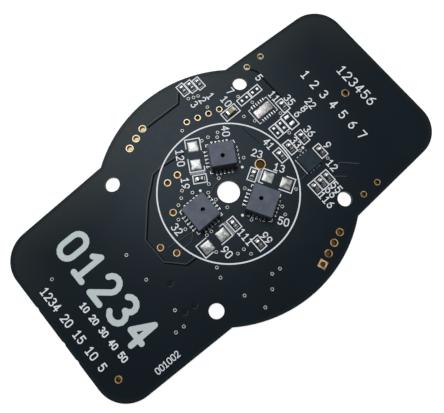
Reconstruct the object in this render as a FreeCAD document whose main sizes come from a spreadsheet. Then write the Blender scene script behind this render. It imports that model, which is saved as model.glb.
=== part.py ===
import FreeCAD, Part
import Sketcher
import os

# Sensor evaluation board: a thin circuit board with three spectral sensors round a centre hole.
# Millimetres. The origin is the centre of the centre hole on the underside. +X runs along the
# board, +Z points up out of the populated side.

# The driving sizes. A name that ends in _x or _y is a place on the board, seen from above.
SIZES = {
    # The board's outline
    "board_length": 70.0,
    "board_thickness": 0.8,
    "wing_middle_width": 35.0,
    "wing_end_width": 31.75,
    "wing_corner_radius": 5.4,
    "bulge_width": 42.7,
    "bulge_radius": 23.0,
    "break_off_dent_depth": 0.1,
    "break_off_dent_radius": 1.0,
    "break_off_dent_first_y": -5.3,
    "break_off_dent_spacing": 3.5,
    "break_off_dent_far_y": 5.1,

    # Holes for screws and for the optics in the middle
    "centre_hole_diameter": 3.8,
    "screw_hole_diameter": 2.5,
    "screw_hole_spacing_x": 27.9,
    "screw_hole_spacing_y": 26.75,

    # Plated holes of the header rows. Their rings stand as far proud of the board as every pad.
    "pad_height": 0.05,
    "header_ring_diameter": 1.35,
    "header_hole_diameter": 0.88,
    "ribbon_ring_diameter": 1.16,
    "ribbon_hole_diameter": 0.76,
    "header_pitch": 2.0,
    "header_angle": 19.5,
    "pin_header_x": 3.82,
    "pin_header_inset": 2.5,
    "ribbon_header_x": 2.37,
    "ribbon_header_y": 13.78,
    "ribbon_header_angle": -17.5,
    "debug_header_x": -7.92,
    "debug_header_inset": 5.0,

    # Holes for jumpers and test probes
    "probe_hole_diameter": 0.76,
    "jumper_pitch": 3.15,
    "jumper_x": 16.85,
    "jumper_inset": 1.9,
    "end_test_hole_diameter": 0.9,
    "right_end_test_inset": 8.2,
    "right_end_test_y": 0.19,
    "left_end_test_inset": 3.2,
    "left_end_test_y": -11.36,
    "upper_test_x": -6.8,
    "upper_test_y": 7.66,
    "upper_test_pitch": 2.1,
    "sensor_test_x": -9.22,
    "sensor_test_y": 3.21,
    "trace_test_x": -14.39,
    "trace_test_y": 0.09,
    "trace_test_pitch": 2.78,
    "trace_test_angle": -58.5,
    "large_test_hole_diameter": 1.5,
    "large_test_x": 7.08,
    "large_test_y": 0.15,

    # The three sensor cells. The places in a cell are those before its turn about the centre hole.
    "sensor_length": 4.4,
    "sensor_width": 4.5,
    "sensor_height": 2.5,
    "left_sensor_x": -5.8,
    "left_sensor_y": 0.1,
    "upper_sensor_x": -6.0,
    "upper_sensor_y": -0.04,
    "lower_sensor_x": -5.74,
    "lower_sensor_y": -0.06,
    "sensor_base_height": 0.5,
    "sensor_wall": 0.5,
    "sensor_roof": 0.3,
    "sensor_edge_bevel": 0.08,
    "upper_cap_length": 3.85,
    "upper_cap_width": 4.2,
    "upper_cap_shift": 0.14,
    "aperture_diameter": 0.7,
    "aperture_shift": 0.44,
    "lower_aperture_drop": 0.18,
    "die_clearance": 0.2,
    "die_height": 0.35,
    "sensor_land_pitch": 0.65,
    "sensor_land_count": 5,
    "sensor_land_width": 0.3,
    "sensor_land_side_reach": 0.7,
    "sensor_land_end_reach": 0.6,
    "land_overlap": 0.35,
    "lamp_pad_side": 1.8,
    "lamp_pad_height": 0.12,
    "lamp_pad_bevel": 0.06,
    "lamp_pad_spacing": 3.18,
    "left_lamp_pads_x": -6.99,
    "left_lamp_pads_y": -4.75,
    "upper_lamp_pads_x": -7.07,
    "upper_lamp_pads_y": -4.55,
    "lower_lamp_pads_x": -6.93,
    "lower_lamp_pads_y": -4.52,
    "left_lamp_resistor_x": -2.85,
    "left_lamp_resistor_y": -4.68,
    "upper_lamp_resistor_x": -2.95,
    "upper_lamp_resistor_y": -4.32,
    "lower_lamp_resistor_x": -2.82,
    "lower_lamp_resistor_y": -4.1,

    # Leadless chips: the memory and the unfitted driver's footprint
    "memory_x": 13.6,
    "memory_y": -4.7,
    "memory_side": 3.0,
    "memory_height": 0.75,
    "memory_edge_bevel": 0.06,
    "memory_land_pitch": 0.65,
    "memory_land_count": 4,
    "memory_land_width": 0.32,
    "memory_land_reach": 0.28,
    "driver_x": 13.83,
    "driver_y": 7.08,
    "driver_pad_length": 3.4,
    "driver_pad_width": 1.55,
    "driver_land_pitch": 0.5,
    "driver_land_count": 6,
    "driver_land_width": 0.26,
    "driver_land_length": 0.65,
    "driver_land_row_spacing": 2.94,

    # Two-terminal chips. Each lies along Y on two lands.
    "small_chip_length": 1.0,
    "small_chip_width": 0.5,
    "small_chip_height": 0.45,
    "small_terminal": 0.25,
    "large_chip_length": 1.6,
    "large_chip_width": 0.8,
    "large_chip_height": 0.8,
    "large_terminal": 0.35,
    "terminal_step": 0.02,
    "chip_land_side": 0.06,
    "chip_land_toe": 0.3,
    "chip_land_heel": 0.05,
    "supply_capacitor_x": 9.2,
    "supply_capacitor_y": 10.3,
    "decoupling_capacitor_1_x": 10.73,
    "decoupling_capacitor_1_y": -0.9,
    "decoupling_capacitor_2_x": 12.88,
    "decoupling_capacitor_2_y": -0.9,
    "decoupling_capacitor_3_x": 11.46,
    "decoupling_capacitor_3_y": -8.8,
    "decoupling_capacitor_4_x": 12.86,
    "decoupling_capacitor_4_y": -8.8,
    "decoupling_capacitor_5_x": 14.24,
    "decoupling_capacitor_5_y": -8.8,
    "decoupling_capacitor_6_x": -1.8,
    "decoupling_capacitor_6_y": -9.65,
    "pull_up_resistor_1_x": 15.7,
    "pull_up_resistor_1_y": -0.9,
    "pull_up_resistor_2_x": 16.93,
    "pull_up_resistor_2_y": 5.45,
    "pull_up_resistor_3_x": 16.4,
    "pull_up_resistor_3_y": -4.7,
    "protection_diode_x": 5.62,
    "protection_diode_inset": 2.63,
    "protection_diode_pitch_x": 1.39,
    "protection_diode_pitch_y": 0.41,

    # Unfitted two-pad footprints
    "spare_pad_length": 0.5,
    "spare_pad_width": 0.45,
    "spare_pad_spacing": 1.04,
    "spare_upper_1_x": 12.65,
    "spare_upper_1_y": 10.65,
    "spare_upper_2_x": 15.03,
    "spare_upper_2_y": 10.65,
    "spare_middle_1_x": 13.0,
    "spare_middle_1_y": 2.85,
    "spare_middle_2_x": 14.45,
    "spare_middle_2_y": 2.85,
    "spare_wide_pad_length": 1.0,
    "spare_wide_pad_width": 0.6,
    "spare_wide_pad_spacing": 1.35,
    "spare_wide_x": 16.05,
    "spare_wide_y": 2.8,
}

doc = FreeCAD.newDocument("sensor_evaluation_board")
sheet = doc.addObject("Spreadsheet::Sheet", "dims")
for sheet_row, (size_name, size_value) in enumerate(SIZES.items(), 1):
    sheet.set("A%d" % sheet_row, size_name)
    sheet.set("B%d" % sheet_row, str(size_value))
    sheet.setAlias("B%d" % sheet_row, size_name)
doc.recompute()

# Measures that several pieces share, written once as expressions on the sizes
HALF_LENGTH = "dims.board_length / 2"
HALF_BULGE = "dims.bulge_width / 2"
BULGE_CENTRE = "(dims.bulge_radius - dims.bulge_width / 2)"
BOARD_TOP = "dims.board_thickness"
PAD_TOP = "dims.board_thickness + dims.pad_height"
WING_SLOPE = "((dims.wing_middle_width - dims.wing_end_width) / dims.board_length)"
WING_EDGE_AT_JUMPERS = "(dims.wing_middle_width / 2 - dims.jumper_x * " + WING_SLOPE + ")"


def worth(expression):
    """The number that an expression on the sheet gives."""
    return float(sheet.evalExpression(expression))


def origin_feature(body, role):
    """A plane or axis of the body's own origin."""
    return [item for item in body.Origin.OriginFeatures if item.Role == role][0]


def new_body(name, height="0", turn="0", across="0", up="0"):
    """An empty body, placed on the board and turned about the upright axis."""
    body = doc.addObject("PartDesign::Body", name)
    body.Label = name
    body.AllowCompound = True
    body.Placement = FreeCAD.Placement(FreeCAD.Vector(), FreeCAD.Rotation(FreeCAD.Vector(0, 0, 1), 0))
    body.setExpression("Placement.Base.x", across)
    body.setExpression("Placement.Base.y", up)
    body.setExpression("Placement.Base.z", height)
    body.setExpression("Placement.Rotation.Angle", turn)
    return body


def new_sketch(body, name, across="0", up="0", turn="0", height="0"):
    """An empty sketch on the body's level plane, moved over it, turned and raised."""
    sketch = body.newObject("Sketcher::SketchObject", name)
    sketch.AttachmentSupport = (origin_feature(body, "XY_Plane"), [""])
    sketch.MapMode = "FlatFace"
    sketch.setExpression("AttachmentOffset.Base.x", across)
    sketch.setExpression("AttachmentOffset.Base.y", up)
    sketch.setExpression("AttachmentOffset.Base.z", height)
    sketch.setExpression("AttachmentOffset.Rotation.Angle", turn)
    return sketch


def hold_point(sketch, element, point, across, up):
    """Ties a point of the sketch to two expressions."""
    for kind, expression in (("DistanceX", across), ("DistanceY", up)):
        index = sketch.addConstraint(
            Sketcher.Constraint(kind, -1, 1, element, point, worth(expression))
        )
        sketch.setExpression("Constraints[%d]" % index, expression)


def add_polygon(sketch, corners):
    """A closed polygon whose corners are pairs of expressions."""
    first = sketch.GeometryCount
    count = len(corners)
    points = [FreeCAD.Vector(worth(across), worth(up), 0) for across, up in corners]
    for step in range(count):
        sketch.addGeometry(Part.LineSegment(points[step], points[(step + 1) % count]))
    for step in range(count):
        following = first + (step + 1) % count
        sketch.addConstraint(Sketcher.Constraint("Coincident", first + step, 2, following, 1))
    for step, (across, up) in enumerate(corners):
        hold_point(sketch, first + step, 1, across, up)


def add_rectangle(sketch, across, up, length, width):
    """A rectangle by its centre and its full sizes along X and Y."""
    low_x = "%s - (%s) / 2" % (across, length)
    high_x = "%s + (%s) / 2" % (across, length)
    low_y = "%s - (%s) / 2" % (up, width)
    high_y = "%s + (%s) / 2" % (up, width)
    add_polygon(sketch, [(low_x, low_y), (high_x, low_y), (high_x, high_y), (low_x, high_y)])


def add_circle(sketch, across, up, radius):
    """A circle by its centre and radius."""
    centre = FreeCAD.Vector(worth(across), worth(up), 0)
    element = sketch.addGeometry(Part.Circle(centre, FreeCAD.Vector(0, 0, 1), worth(radius)))
    hold_point(sketch, element, 3, across, up)
    index = sketch.addConstraint(Sketcher.Constraint("Radius", element, worth(radius)))
    sketch.setExpression("Constraints[%d]" % index, radius)


def add_pad(body, sketch, name, length):
    """Raises the sketch into a solid."""
    pad = body.newObject("PartDesign::Pad", name)
    pad.Profile = sketch
    pad.setExpression("Length", length)
    body.Tip = pad
    return pad


def cut_away(body, sketch, name, length=None):
    """Cuts the sketch upwards out of the solid, to a depth or right through."""
    before = body.Shape.Volume
    pocket = body.newObject("PartDesign::Pocket", name)
    pocket.Profile = sketch
    if length is None:
        pocket.Type = "ThroughAll"
        pocket.Midplane = True
    else:
        pocket.Reversed = True
        pocket.setExpression("Length", length)
    body.Tip = pocket
    doc.recompute()
    if body.Shape.Volume >= before:
        raise RuntimeError(name + " cuts nothing")
    return pocket


def repeat_along(body, feature, name, role, count, pitch):
    """Repeats a feature at even steps along one of the body's axes."""
    repeat = body.newObject("PartDesign::LinearPattern", name)
    repeat.Originals = [feature]
    repeat.Direction = (origin_feature(body, role), [""])
    repeat.setExpression("Occurrences", count)
    repeat.setExpression("Length", "(%s - 1) * %s" % (count, pitch))
    body.Tip = repeat
    doc.recompute()


def bevel(body, feature, edges, name, width):
    """Bevels the named edges of a feature."""
    chamfer = body.newObject("PartDesign::Chamfer", name)
    chamfer.Base = (feature, edges)
    chamfer.setExpression("Size", width)
    body.Tip = chamfer
    doc.recompute()


def edges_where(feature, wanted):
    """The names of the feature's edges that a test on both ends picks out."""
    found = []
    for number, edge in enumerate(feature.Shape.Edges, 1):
        ends = [vertex.Point for vertex in edge.Vertexes]
        if len(ends) == 2 and wanted(ends[0], ends[1]):
            found.append("Edge%d" % number)
    return found


# Rows of holes, each with its first hole's place, its direction, its pitch and its count
RING = "dims.header_ring_diameter / 2"
HEADER_HOLE = "dims.header_hole_diameter / 2"
RIBBON_RING = "dims.ribbon_ring_diameter / 2"
RIBBON_HOLE = "dims.ribbon_hole_diameter / 2"
PROBE_HOLE = "dims.probe_hole_diameter / 2"
PIN_ONE = (
    "dims.pin_header_x", "dims.pin_header_inset - " + HALF_BULGE, "dims.header_angle",
)
JUMPER_Y = WING_EDGE_AT_JUMPERS + " - dims.jumper_inset"

header_rows = {
    "pin_header_holes": (
        PIN_ONE[0] + " + dims.header_pitch * cos(dims.header_angle)",
        PIN_ONE[1] + " + dims.header_pitch * sin(dims.header_angle)",
        "dims.header_angle", "dims.header_pitch", 3,
    ),
    "ribbon_header_holes": (
        "dims.ribbon_header_x", "dims.ribbon_header_y",
        "dims.ribbon_header_angle", "dims.header_pitch", 4,
    ),
    "debug_header_holes": (
        "dims.debug_header_x", HALF_BULGE + " - dims.debug_header_inset",
        "dims.header_angle", "dims.header_pitch", 3,
    ),
}
small_rings = ("ribbon_header_holes",)

probe_rows = {
    "upper_jumper": ("dims.jumper_x", JUMPER_Y, "0", "dims.jumper_pitch", 2),
    "lower_jumper": ("dims.jumper_x", "-(" + JUMPER_Y + ")", "0", "dims.jumper_pitch", 2),
    "upper_test": ("dims.upper_test_x", "dims.upper_test_y", "0", "dims.upper_test_pitch", 2),
    "trace_test": (
        "dims.trace_test_x", "dims.trace_test_y",
        "dims.trace_test_angle", "dims.trace_test_pitch", 2,
    ),
    "sensor_test": ("dims.sensor_test_x", "dims.sensor_test_y", "0", "0", 1),
    "left_end_test": (
        "dims.left_end_test_inset - " + HALF_LENGTH, "dims.left_end_test_y", "0", "0", 1,
    ),
}


def drill_row(board, name, row, radius):
    """Drills one row of round holes through the board."""
    across, up, turn, pitch, count = row
    circles = new_sketch(board, name + "_circles", across, up, turn)
    for step in range(count):
        add_circle(circles, "%d * %s" % (step, pitch), "0", radius)
    cut_away(board, circles, name + "_drilled")


# The laminate board
def make_board():
    board = new_body("board")

    wings = new_sketch(board, "wings_outline")
    half_end = "dims.wing_end_width / 2"
    half_middle = "dims.wing_middle_width / 2"
    add_polygon(wings, [
        ("-" + HALF_LENGTH, "-" + half_end),
        ("0", "-" + half_middle),
        (HALF_LENGTH, "-" + half_end),
        (HALF_LENGTH, half_end),
        ("0", half_middle),
        ("-" + HALF_LENGTH, half_end),
    ])
    wings_pad = add_pad(board, wings, "wings", BOARD_TOP)
    doc.recompute()

    far = worth(HALF_LENGTH) - 0.001
    corners = edges_where(
        wings_pad, lambda a, b: abs(a.x) > far and abs(b.x) > far and abs(a.z - b.z) > 0.001
    )
    rounded = board.newObject("PartDesign::Fillet", "wing_corners")
    rounded.Base = (wings_pad, corners)
    rounded.setExpression("Radius", "dims.wing_corner_radius")
    board.Tip = rounded

    bulge = new_sketch(board, "bulge_outline")
    radius = worth("dims.bulge_radius")
    offset = worth(BULGE_CENTRE)
    reach = (radius ** 2 - offset ** 2) ** 0.5
    for side in (1, -1):
        crown = FreeCAD.Vector(0, side * (radius - offset), 0)
        left = FreeCAD.Vector(-reach, 0, 0)
        right = FreeCAD.Vector(reach, 0, 0)
        bulge.addGeometry(Part.Arc(right * side, crown, left * side))
    for arc in (0, 1):
        centre_y = ("-" if arc == 0 else "") + BULGE_CENTRE
        hold_point(bulge, arc, 3, "0", centre_y)
        index = bulge.addConstraint(Sketcher.Constraint("Radius", arc, radius))
        bulge.setExpression("Constraints[%d]" % index, "dims.bulge_radius")
        bulge.addConstraint(Sketcher.Constraint("Coincident", arc, 2, 1 - arc, 1))
    add_pad(board, bulge, "bulge", BOARD_TOP)
    doc.recompute()

    dents = new_sketch(board, "break_off_dents_outline")
    dent_x = "-(%s + dims.break_off_dent_radius - dims.break_off_dent_depth)" % HALF_LENGTH
    for dent_y in (
        "dims.break_off_dent_first_y",
        "dims.break_off_dent_first_y + dims.break_off_dent_spacing",
        "dims.break_off_dent_far_y",
    ):
        add_circle(dents, dent_x, dent_y, "dims.break_off_dent_radius")
    cut_away(board, dents, "break_off_dents")

    screws = new_sketch(board, "screw_holes_outline")
    add_circle(screws, "0", "0", "dims.centre_hole_diameter / 2")
    for side_x in ("-", ""):
        for side_y in ("-", ""):
            across = side_x + "dims.screw_hole_spacing_x / 2"
            up = side_y + "dims.screw_hole_spacing_y / 2"
            add_circle(screws, across, up, "dims.screw_hole_diameter / 2")
    cut_away(board, screws, "screw_holes")

    for name, row in header_rows.items():
        drill_row(board, name, row, RIBBON_RING if name in small_rings else RING)
    for name, row in probe_rows.items():
        drill_row(board, name, row, PROBE_HOLE)
    drill_row(
        board, "right_end_test",
        (HALF_LENGTH + " - dims.right_end_test_inset", "dims.right_end_test_y", "0", "0", 1),
        "dims.end_test_hole_diameter / 2",
    )
    drill_row(
        board, "large_test", ("dims.large_test_x", "dims.large_test_y", "0", "0", 1),
        "dims.large_test_hole_diameter / 2",
    )
    square = new_sketch(board, "pin_one_square", *PIN_ONE)
    add_rectangle(square, "0", "0", "2 * " + RING, "2 * " + RING)
    cut_away(board, square, "pin_one_seat")


# The plating of a header row: a sleeve in each hole, flush below and a pad's height proud above
def make_header_row(name, row):
    across, up, turn, pitch, count = row
    body = new_body(name, "0", turn, across, up)
    rings = new_sketch(body, name + "_ring")
    add_circle(rings, "0", "0", RIBBON_RING if name in small_rings else RING)
    add_circle(rings, "0", "0", RIBBON_HOLE if name in small_rings else HEADER_HOLE)
    sleeve = add_pad(body, rings, name + "_sleeve", PAD_TOP)
    repeat_along(body, sleeve, name + "_sleeves", "X_Axis", str(count), pitch)


# Pin one of the header has a square pad
def make_pin_one_hole():
    across, up, turn = PIN_ONE
    body = new_body("pin_one_hole", "0", turn, across, up)
    square = new_sketch(body, "pin_one_outline")
    add_rectangle(square, "0", "0", "2 * " + RING, "2 * " + RING)
    add_circle(square, "0", "0", HEADER_HOLE)
    add_pad(body, square, "pin_one_sleeve", PAD_TOP)


# The sensor cells: package, lands, lamp pads and lamp resistor, turned about the centre hole
BASE_TOP = PAD_TOP + " + dims.sensor_base_height"
CAP_HEIGHT = "dims.sensor_height - dims.sensor_base_height"


def make_sensor_lands(name, turn, centre):
    """Five lands a side, half hidden under the package."""
    body = new_body(name, BOARD_TOP, turn)
    rows = (
        ("sides", "dims.sensor_length", "dims.sensor_land_side_reach", "Y_Axis"),
        ("ends", "dims.sensor_width", "dims.sensor_land_end_reach", "X_Axis"),
    )
    for part, package, reach, along in rows:
        length = reach + " + dims.land_overlap"
        shift = "(%s / 2 + (%s - dims.land_overlap) / 2)" % (package, reach)
        start = "(dims.sensor_land_count - 1) / 2 * dims.sensor_land_pitch"
        lands = new_sketch(body, "%s_%s" % (name, part))
        for side in ("-", "+"):
            if along == "Y_Axis":
                add_rectangle(lands, "%s %s %s" % (centre[0], side, shift),
                              "%s - %s" % (centre[1], start), length, "dims.sensor_land_width")
            else:
                add_rectangle(lands, "%s - %s" % (centre[0], start),
                              "%s %s %s" % (centre[1], side, shift),
                              "dims.sensor_land_width", length)
        first = add_pad(body, lands, "%s_%s_first" % (name, part), "dims.pad_height")
        repeat_along(body, first, "%s_%s_row" % (name, part), along,
                     "dims.sensor_land_count", "dims.sensor_land_pitch")


def make_sensor_base(name, turn, centre):
    """The package's base plate, on its lands."""
    body = new_body(name, PAD_TOP, turn)
    outline = new_sketch(body, name + "_outline")
    add_rectangle(outline, *centre, "dims.sensor_length", "dims.sensor_width")
    add_pad(body, outline, name + "_plate", "dims.sensor_base_height")


def make_sensor_cap(name, turn, centre, size, aperture):
    """The package's cap: a hollow box with a round aperture over the die."""
    body = new_body(name, BASE_TOP, turn)
    outline = new_sketch(body, name + "_outline")
    add_rectangle(outline, *centre, *size)
    block = add_pad(body, outline, name + "_block", CAP_HEIGHT)
    doc.recompute()
    low = worth(CAP_HEIGHT) * 0.5
    rims = edges_where(block, lambda a, b: a.z > low or b.z > low)
    bevel(body, block, rims, name + "_edges", "dims.sensor_edge_bevel")
    cavity = new_sketch(body, name + "_cavity_outline")
    inner = [side + " - 2 * dims.sensor_wall" for side in size]
    add_rectangle(cavity, *centre, *inner)
    cut_away(body, cavity, name + "_cavity", CAP_HEIGHT + " - dims.sensor_roof")
    opening = new_sketch(body, name + "_aperture_outline")
    add_circle(opening, *aperture, "dims.aperture_diameter / 2")
    cut_away(body, opening, name + "_aperture")


def make_sensor_die(name, turn, size, aperture):
    """The sensor's die, on the base plate under the aperture."""
    body = new_body(name, BASE_TOP, turn)
    room = " - 2 * (dims.aperture_shift + dims.sensor_wall + dims.die_clearance)"
    outline = new_sketch(body, name + "_outline")
    add_rectangle(outline, *aperture, size[0] + room, size[1] + room)
    add_pad(body, outline, name + "_silicon", "dims.die_height")


def make_lamp_pads(name, turn, centre):
    """Two tinned squares for the lamp, left unfitted."""
    body = new_body(name, BOARD_TOP, turn)
    outline = new_sketch(body, name + "_outline")
    for side in ("-", "+"):
        across = "%s %s dims.lamp_pad_spacing / 2" % (centre[0], side)
        add_rectangle(outline, across, centre[1], "dims.lamp_pad_side", "dims.lamp_pad_side")
    block = add_pad(body, outline, name + "_tinning", "dims.lamp_pad_height")
    doc.recompute()
    low = worth("dims.lamp_pad_height") * 0.5
    rims = edges_where(block, lambda a, b: a.z > low and b.z > low)
    bevel(body, block, rims, name + "_edges", "dims.lamp_pad_bevel")


# Two-terminal chips and their lands
SMALL = ("dims.small_chip_length", "dims.small_chip_width", "dims.small_chip_height",
         "dims.small_terminal")
LARGE = ("dims.large_chip_length", "dims.large_chip_width", "dims.large_chip_height",
         "dims.large_terminal")


def make_chip(name, across, up, sizes, turn="0", lies_along_x=False):
    """A ceramic chip: a body between two metal ends that stand a little proud of it."""
    length, width, height, terminal = sizes
    body = new_body(name, PAD_TOP, turn)

    def add_block(sketch, shift, long, wide):
        if lies_along_x:
            add_rectangle(sketch, across + shift, up, long, wide)
        else:
            add_rectangle(sketch, across, up + shift, wide, long)

    ends = new_sketch(body, name + "_ends_outline")
    for side in ("-", "+"):
        shift = " %s (%s - %s) / 2" % (side, length, terminal)
        add_block(ends, shift, terminal, width)
    add_pad(body, ends, name + "_ends", height)
    core = new_sketch(body, name + "_core_outline", height="dims.terminal_step")
    add_block(core, "", "%s - 2 * dims.terminal_step" % length,
              "%s - 2 * dims.terminal_step" % width)
    add_pad(body, core, name + "_core", "%s - 2 * dims.terminal_step" % height)


def make_chip_lands(name, centres, sizes, turn="0", lies_along_x=False):
    """The lands of one or more chips, each reaching out past its terminal."""
    length, width, height, terminal = sizes
    body = new_body(name, BOARD_TOP, turn)
    outline = new_sketch(body, name + "_outline")
    long = "%s + dims.chip_land_toe + dims.chip_land_heel" % terminal
    wide = "%s + 2 * dims.chip_land_side" % width
    reach = "((%s - %s) / 2 + (dims.chip_land_toe - dims.chip_land_heel) / 2)" % (length, terminal)
    for across, up in centres:
        for side in ("-", "+"):
            shift = " %s %s" % (side, reach)
            if lies_along_x:
                add_rectangle(outline, across + shift, up, long, wide)
            else:
                add_rectangle(outline, across, up + shift, wide, long)
    add_pad(body, outline, name + "_tinning", "dims.pad_height")


def spot(name):
    """The place of a piece as a pair of expressions."""
    return ("dims.%s_x" % name, "dims.%s_y" % name)


def make_cell(side, turn, cap_size, cap_shift="0", aperture_drop="0"):
    """One sensor cell, all of it turned about the centre hole."""
    centre = spot(side + "_sensor")
    cap_centre = (centre[0] + " + " + cap_shift, centre[1])
    aperture = (centre[0] + " + dims.aperture_shift", centre[1] + " - " + aperture_drop)
    make_sensor_lands(side + "_sensor_lands", turn, centre)
    make_sensor_base(side + "_sensor_base", turn, centre)
    make_sensor_cap(side + "_sensor_cap", turn, cap_centre, cap_size, aperture)
    make_sensor_die(side + "_sensor_die", turn, cap_size, aperture)
    make_lamp_pads(side + "_lamp_pads", turn, spot(side + "_lamp_pads"))
    resistor = spot(side + "_lamp_resistor")
    make_chip_lands(side + "_lamp_resistor_lands", [resistor], SMALL, turn)
    make_chip(side + "_lamp_resistor", *resistor, SMALL, turn)


# The leadless memory chip on its two rows of lands
def make_memory():
    lands = new_body("memory_chip_lands", BOARD_TOP, "0", "dims.memory_x", "dims.memory_y")
    outline = new_sketch(lands, "memory_land_outline")
    length = "dims.memory_land_reach + dims.land_overlap"
    shift = "(dims.memory_side / 2 + (dims.memory_land_reach - dims.land_overlap) / 2)"
    start = "-(dims.memory_land_count - 1) / 2 * dims.memory_land_pitch"
    for side in ("-", ""):
        add_rectangle(outline, start, side + shift, "dims.memory_land_width", length)
    first = add_pad(lands, outline, "memory_land_first", "dims.pad_height")
    repeat_along(lands, first, "memory_land_row", "X_Axis",
                 "dims.memory_land_count", "dims.memory_land_pitch")

    chip = new_body("memory_chip", PAD_TOP, "0", "dims.memory_x", "dims.memory_y")
    square = new_sketch(chip, "memory_outline")
    add_rectangle(square, "0", "0", "dims.memory_side", "dims.memory_side")
    block = add_pad(chip, square, "memory_block", "dims.memory_height")
    doc.recompute()
    low = worth("dims.memory_height") * 0.5
    rims = edges_where(block, lambda a, b: a.z > low and b.z > low)
    bevel(chip, block, rims, "memory_edges", "dims.memory_edge_bevel")


# The driver's footprint, left unfitted: a centre pad between two rows of lands
def make_driver_footprint():
    centre = new_body("spare_driver_pad", BOARD_TOP, "0", "dims.driver_x", "dims.driver_y")
    outline = new_sketch(centre, "driver_pad_outline")
    add_rectangle(outline, "0", "0", "dims.driver_pad_length", "dims.driver_pad_width")
    block = add_pad(centre, outline, "driver_pad_tinning", "dims.lamp_pad_height")
    doc.recompute()
    low = worth("dims.lamp_pad_height") * 0.5
    rims = edges_where(block, lambda a, b: a.z > low and b.z > low)
    bevel(centre, block, rims, "driver_pad_edges", "dims.lamp_pad_bevel")

    lands = new_body("spare_driver_lands", BOARD_TOP, "0", "dims.driver_x", "dims.driver_y")
    rows = new_sketch(lands, "driver_land_outline")
    start = "-(dims.driver_land_count - 1) / 2 * dims.driver_land_pitch"
    for side in ("-", ""):
        add_rectangle(rows, start, side + "dims.driver_land_row_spacing / 2",
                      "dims.driver_land_width", "dims.driver_land_length")
    first = add_pad(lands, rows, "driver_land_first", "dims.pad_height")
    repeat_along(lands, first, "driver_land_row", "X_Axis",
                 "dims.driver_land_count", "dims.driver_land_pitch")


# Unfitted footprints of two pads each
def make_spare_pads(name, centres, across_row, length, width, spacing):
    body = new_body(name, BOARD_TOP)
    outline = new_sketch(body, name + "_outline")
    for across, up in centres:
        for side in ("-", "+"):
            shift = " %s %s / 2" % (side, spacing)
            if across_row:
                add_rectangle(outline, across + shift, up, width, length)
            else:
                add_rectangle(outline, across, up + shift, length, width)
    add_pad(body, outline, name + "_tinning", "dims.pad_height")


make_board()
for row_name, header_row in header_rows.items():
    make_header_row(row_name, header_row)
make_pin_one_hole()

FULL_CAP = ("dims.sensor_length", "dims.sensor_width")
make_cell("left", "0", FULL_CAP)
make_cell("upper", "-120", ("dims.upper_cap_length", "dims.upper_cap_width"), "dims.upper_cap_shift")
make_cell("lower", "120", FULL_CAP, aperture_drop="dims.lower_aperture_drop")

make_memory()
make_driver_footprint()

diodes = []
for number in range(3):
    diodes.append((
        "dims.protection_diode_x + %d * dims.protection_diode_pitch_x" % number,
        "%s - dims.protection_diode_inset - %d * dims.protection_diode_pitch_y"
        % (HALF_BULGE, number),
    ))
    make_chip("protection_diode_%d" % (number + 1), diodes[-1][0], diodes[-1][1], SMALL)
make_chip_lands("protection_diode_lands", diodes, SMALL)

make_chip("supply_capacitor", *spot("supply_capacitor"), LARGE, "0", True)
make_chip_lands("supply_capacitor_lands", [spot("supply_capacitor")], LARGE, "0", True)

chip_groups = {
    "middle_chip_lands": ("decoupling_capacitor_1", "decoupling_capacitor_2", "pull_up_resistor_1"),
    "lower_chip_lands": (
        "decoupling_capacitor_3", "decoupling_capacitor_4", "decoupling_capacitor_5",
    ),
    "sensor_chip_lands": ("decoupling_capacitor_6",),
    "right_chip_lands": ("pull_up_resistor_2", "pull_up_resistor_3"),
}
for lands_name, chips in chip_groups.items():
    make_chip_lands(lands_name, [spot(chip) for chip in chips], SMALL)
    for chip in chips:
        make_chip(chip, *spot(chip), SMALL)

SPARE = ("dims.spare_pad_length", "dims.spare_pad_width", "dims.spare_pad_spacing")
SPARE_WIDE = (
    "dims.spare_wide_pad_length", "dims.spare_wide_pad_width", "dims.spare_wide_pad_spacing",
)
make_spare_pads("spare_upper_pads", [spot("spare_upper_1"), spot("spare_upper_2")], True, *SPARE)
make_spare_pads("spare_middle_pads", [spot("spare_middle_1"), spot("spare_middle_2")], False, *SPARE)
make_spare_pads("spare_wide_pads", [spot("spare_wide")], False, *SPARE_WIDE)

doc.recompute()

for item in doc.Objects:
    if "Invalid" in item.State or "Error" in item.State:
        raise RuntimeError("%s didn't compute: %s" % (item.Name, item.State))

bodies = [item for item in doc.Objects if item.TypeId == "PartDesign::Body"]
for body in bodies:
    if body.Shape.isNull() or not body.Shape.isValid():
        raise RuntimeError("%s has no sound shape" % body.Label)

os.makedirs("parts", exist_ok=True)
for body in bodies:
    body.Shape.exportStep("parts/%s.step" % body.Label)
    print("%-28s %2d solids %9.3f mm3" % (body.Label, len(body.Shape.Solids), body.Shape.Volume))
print("%d nodes" % len(bodies))
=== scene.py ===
# %% [markdown]
# # A sensor evaluation board, dressed for a close look
#
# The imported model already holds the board, its header sleeves, the three sensor packages, the
# chips and the bare pads. This lesson gives them their finishes and adds what is too thin for a
# solid: printed ink, copper under the mask, plated rings and solder. One unit in Blender is a
# metre, so small sizes are written in millimetres and scaled once, by MM.

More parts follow.
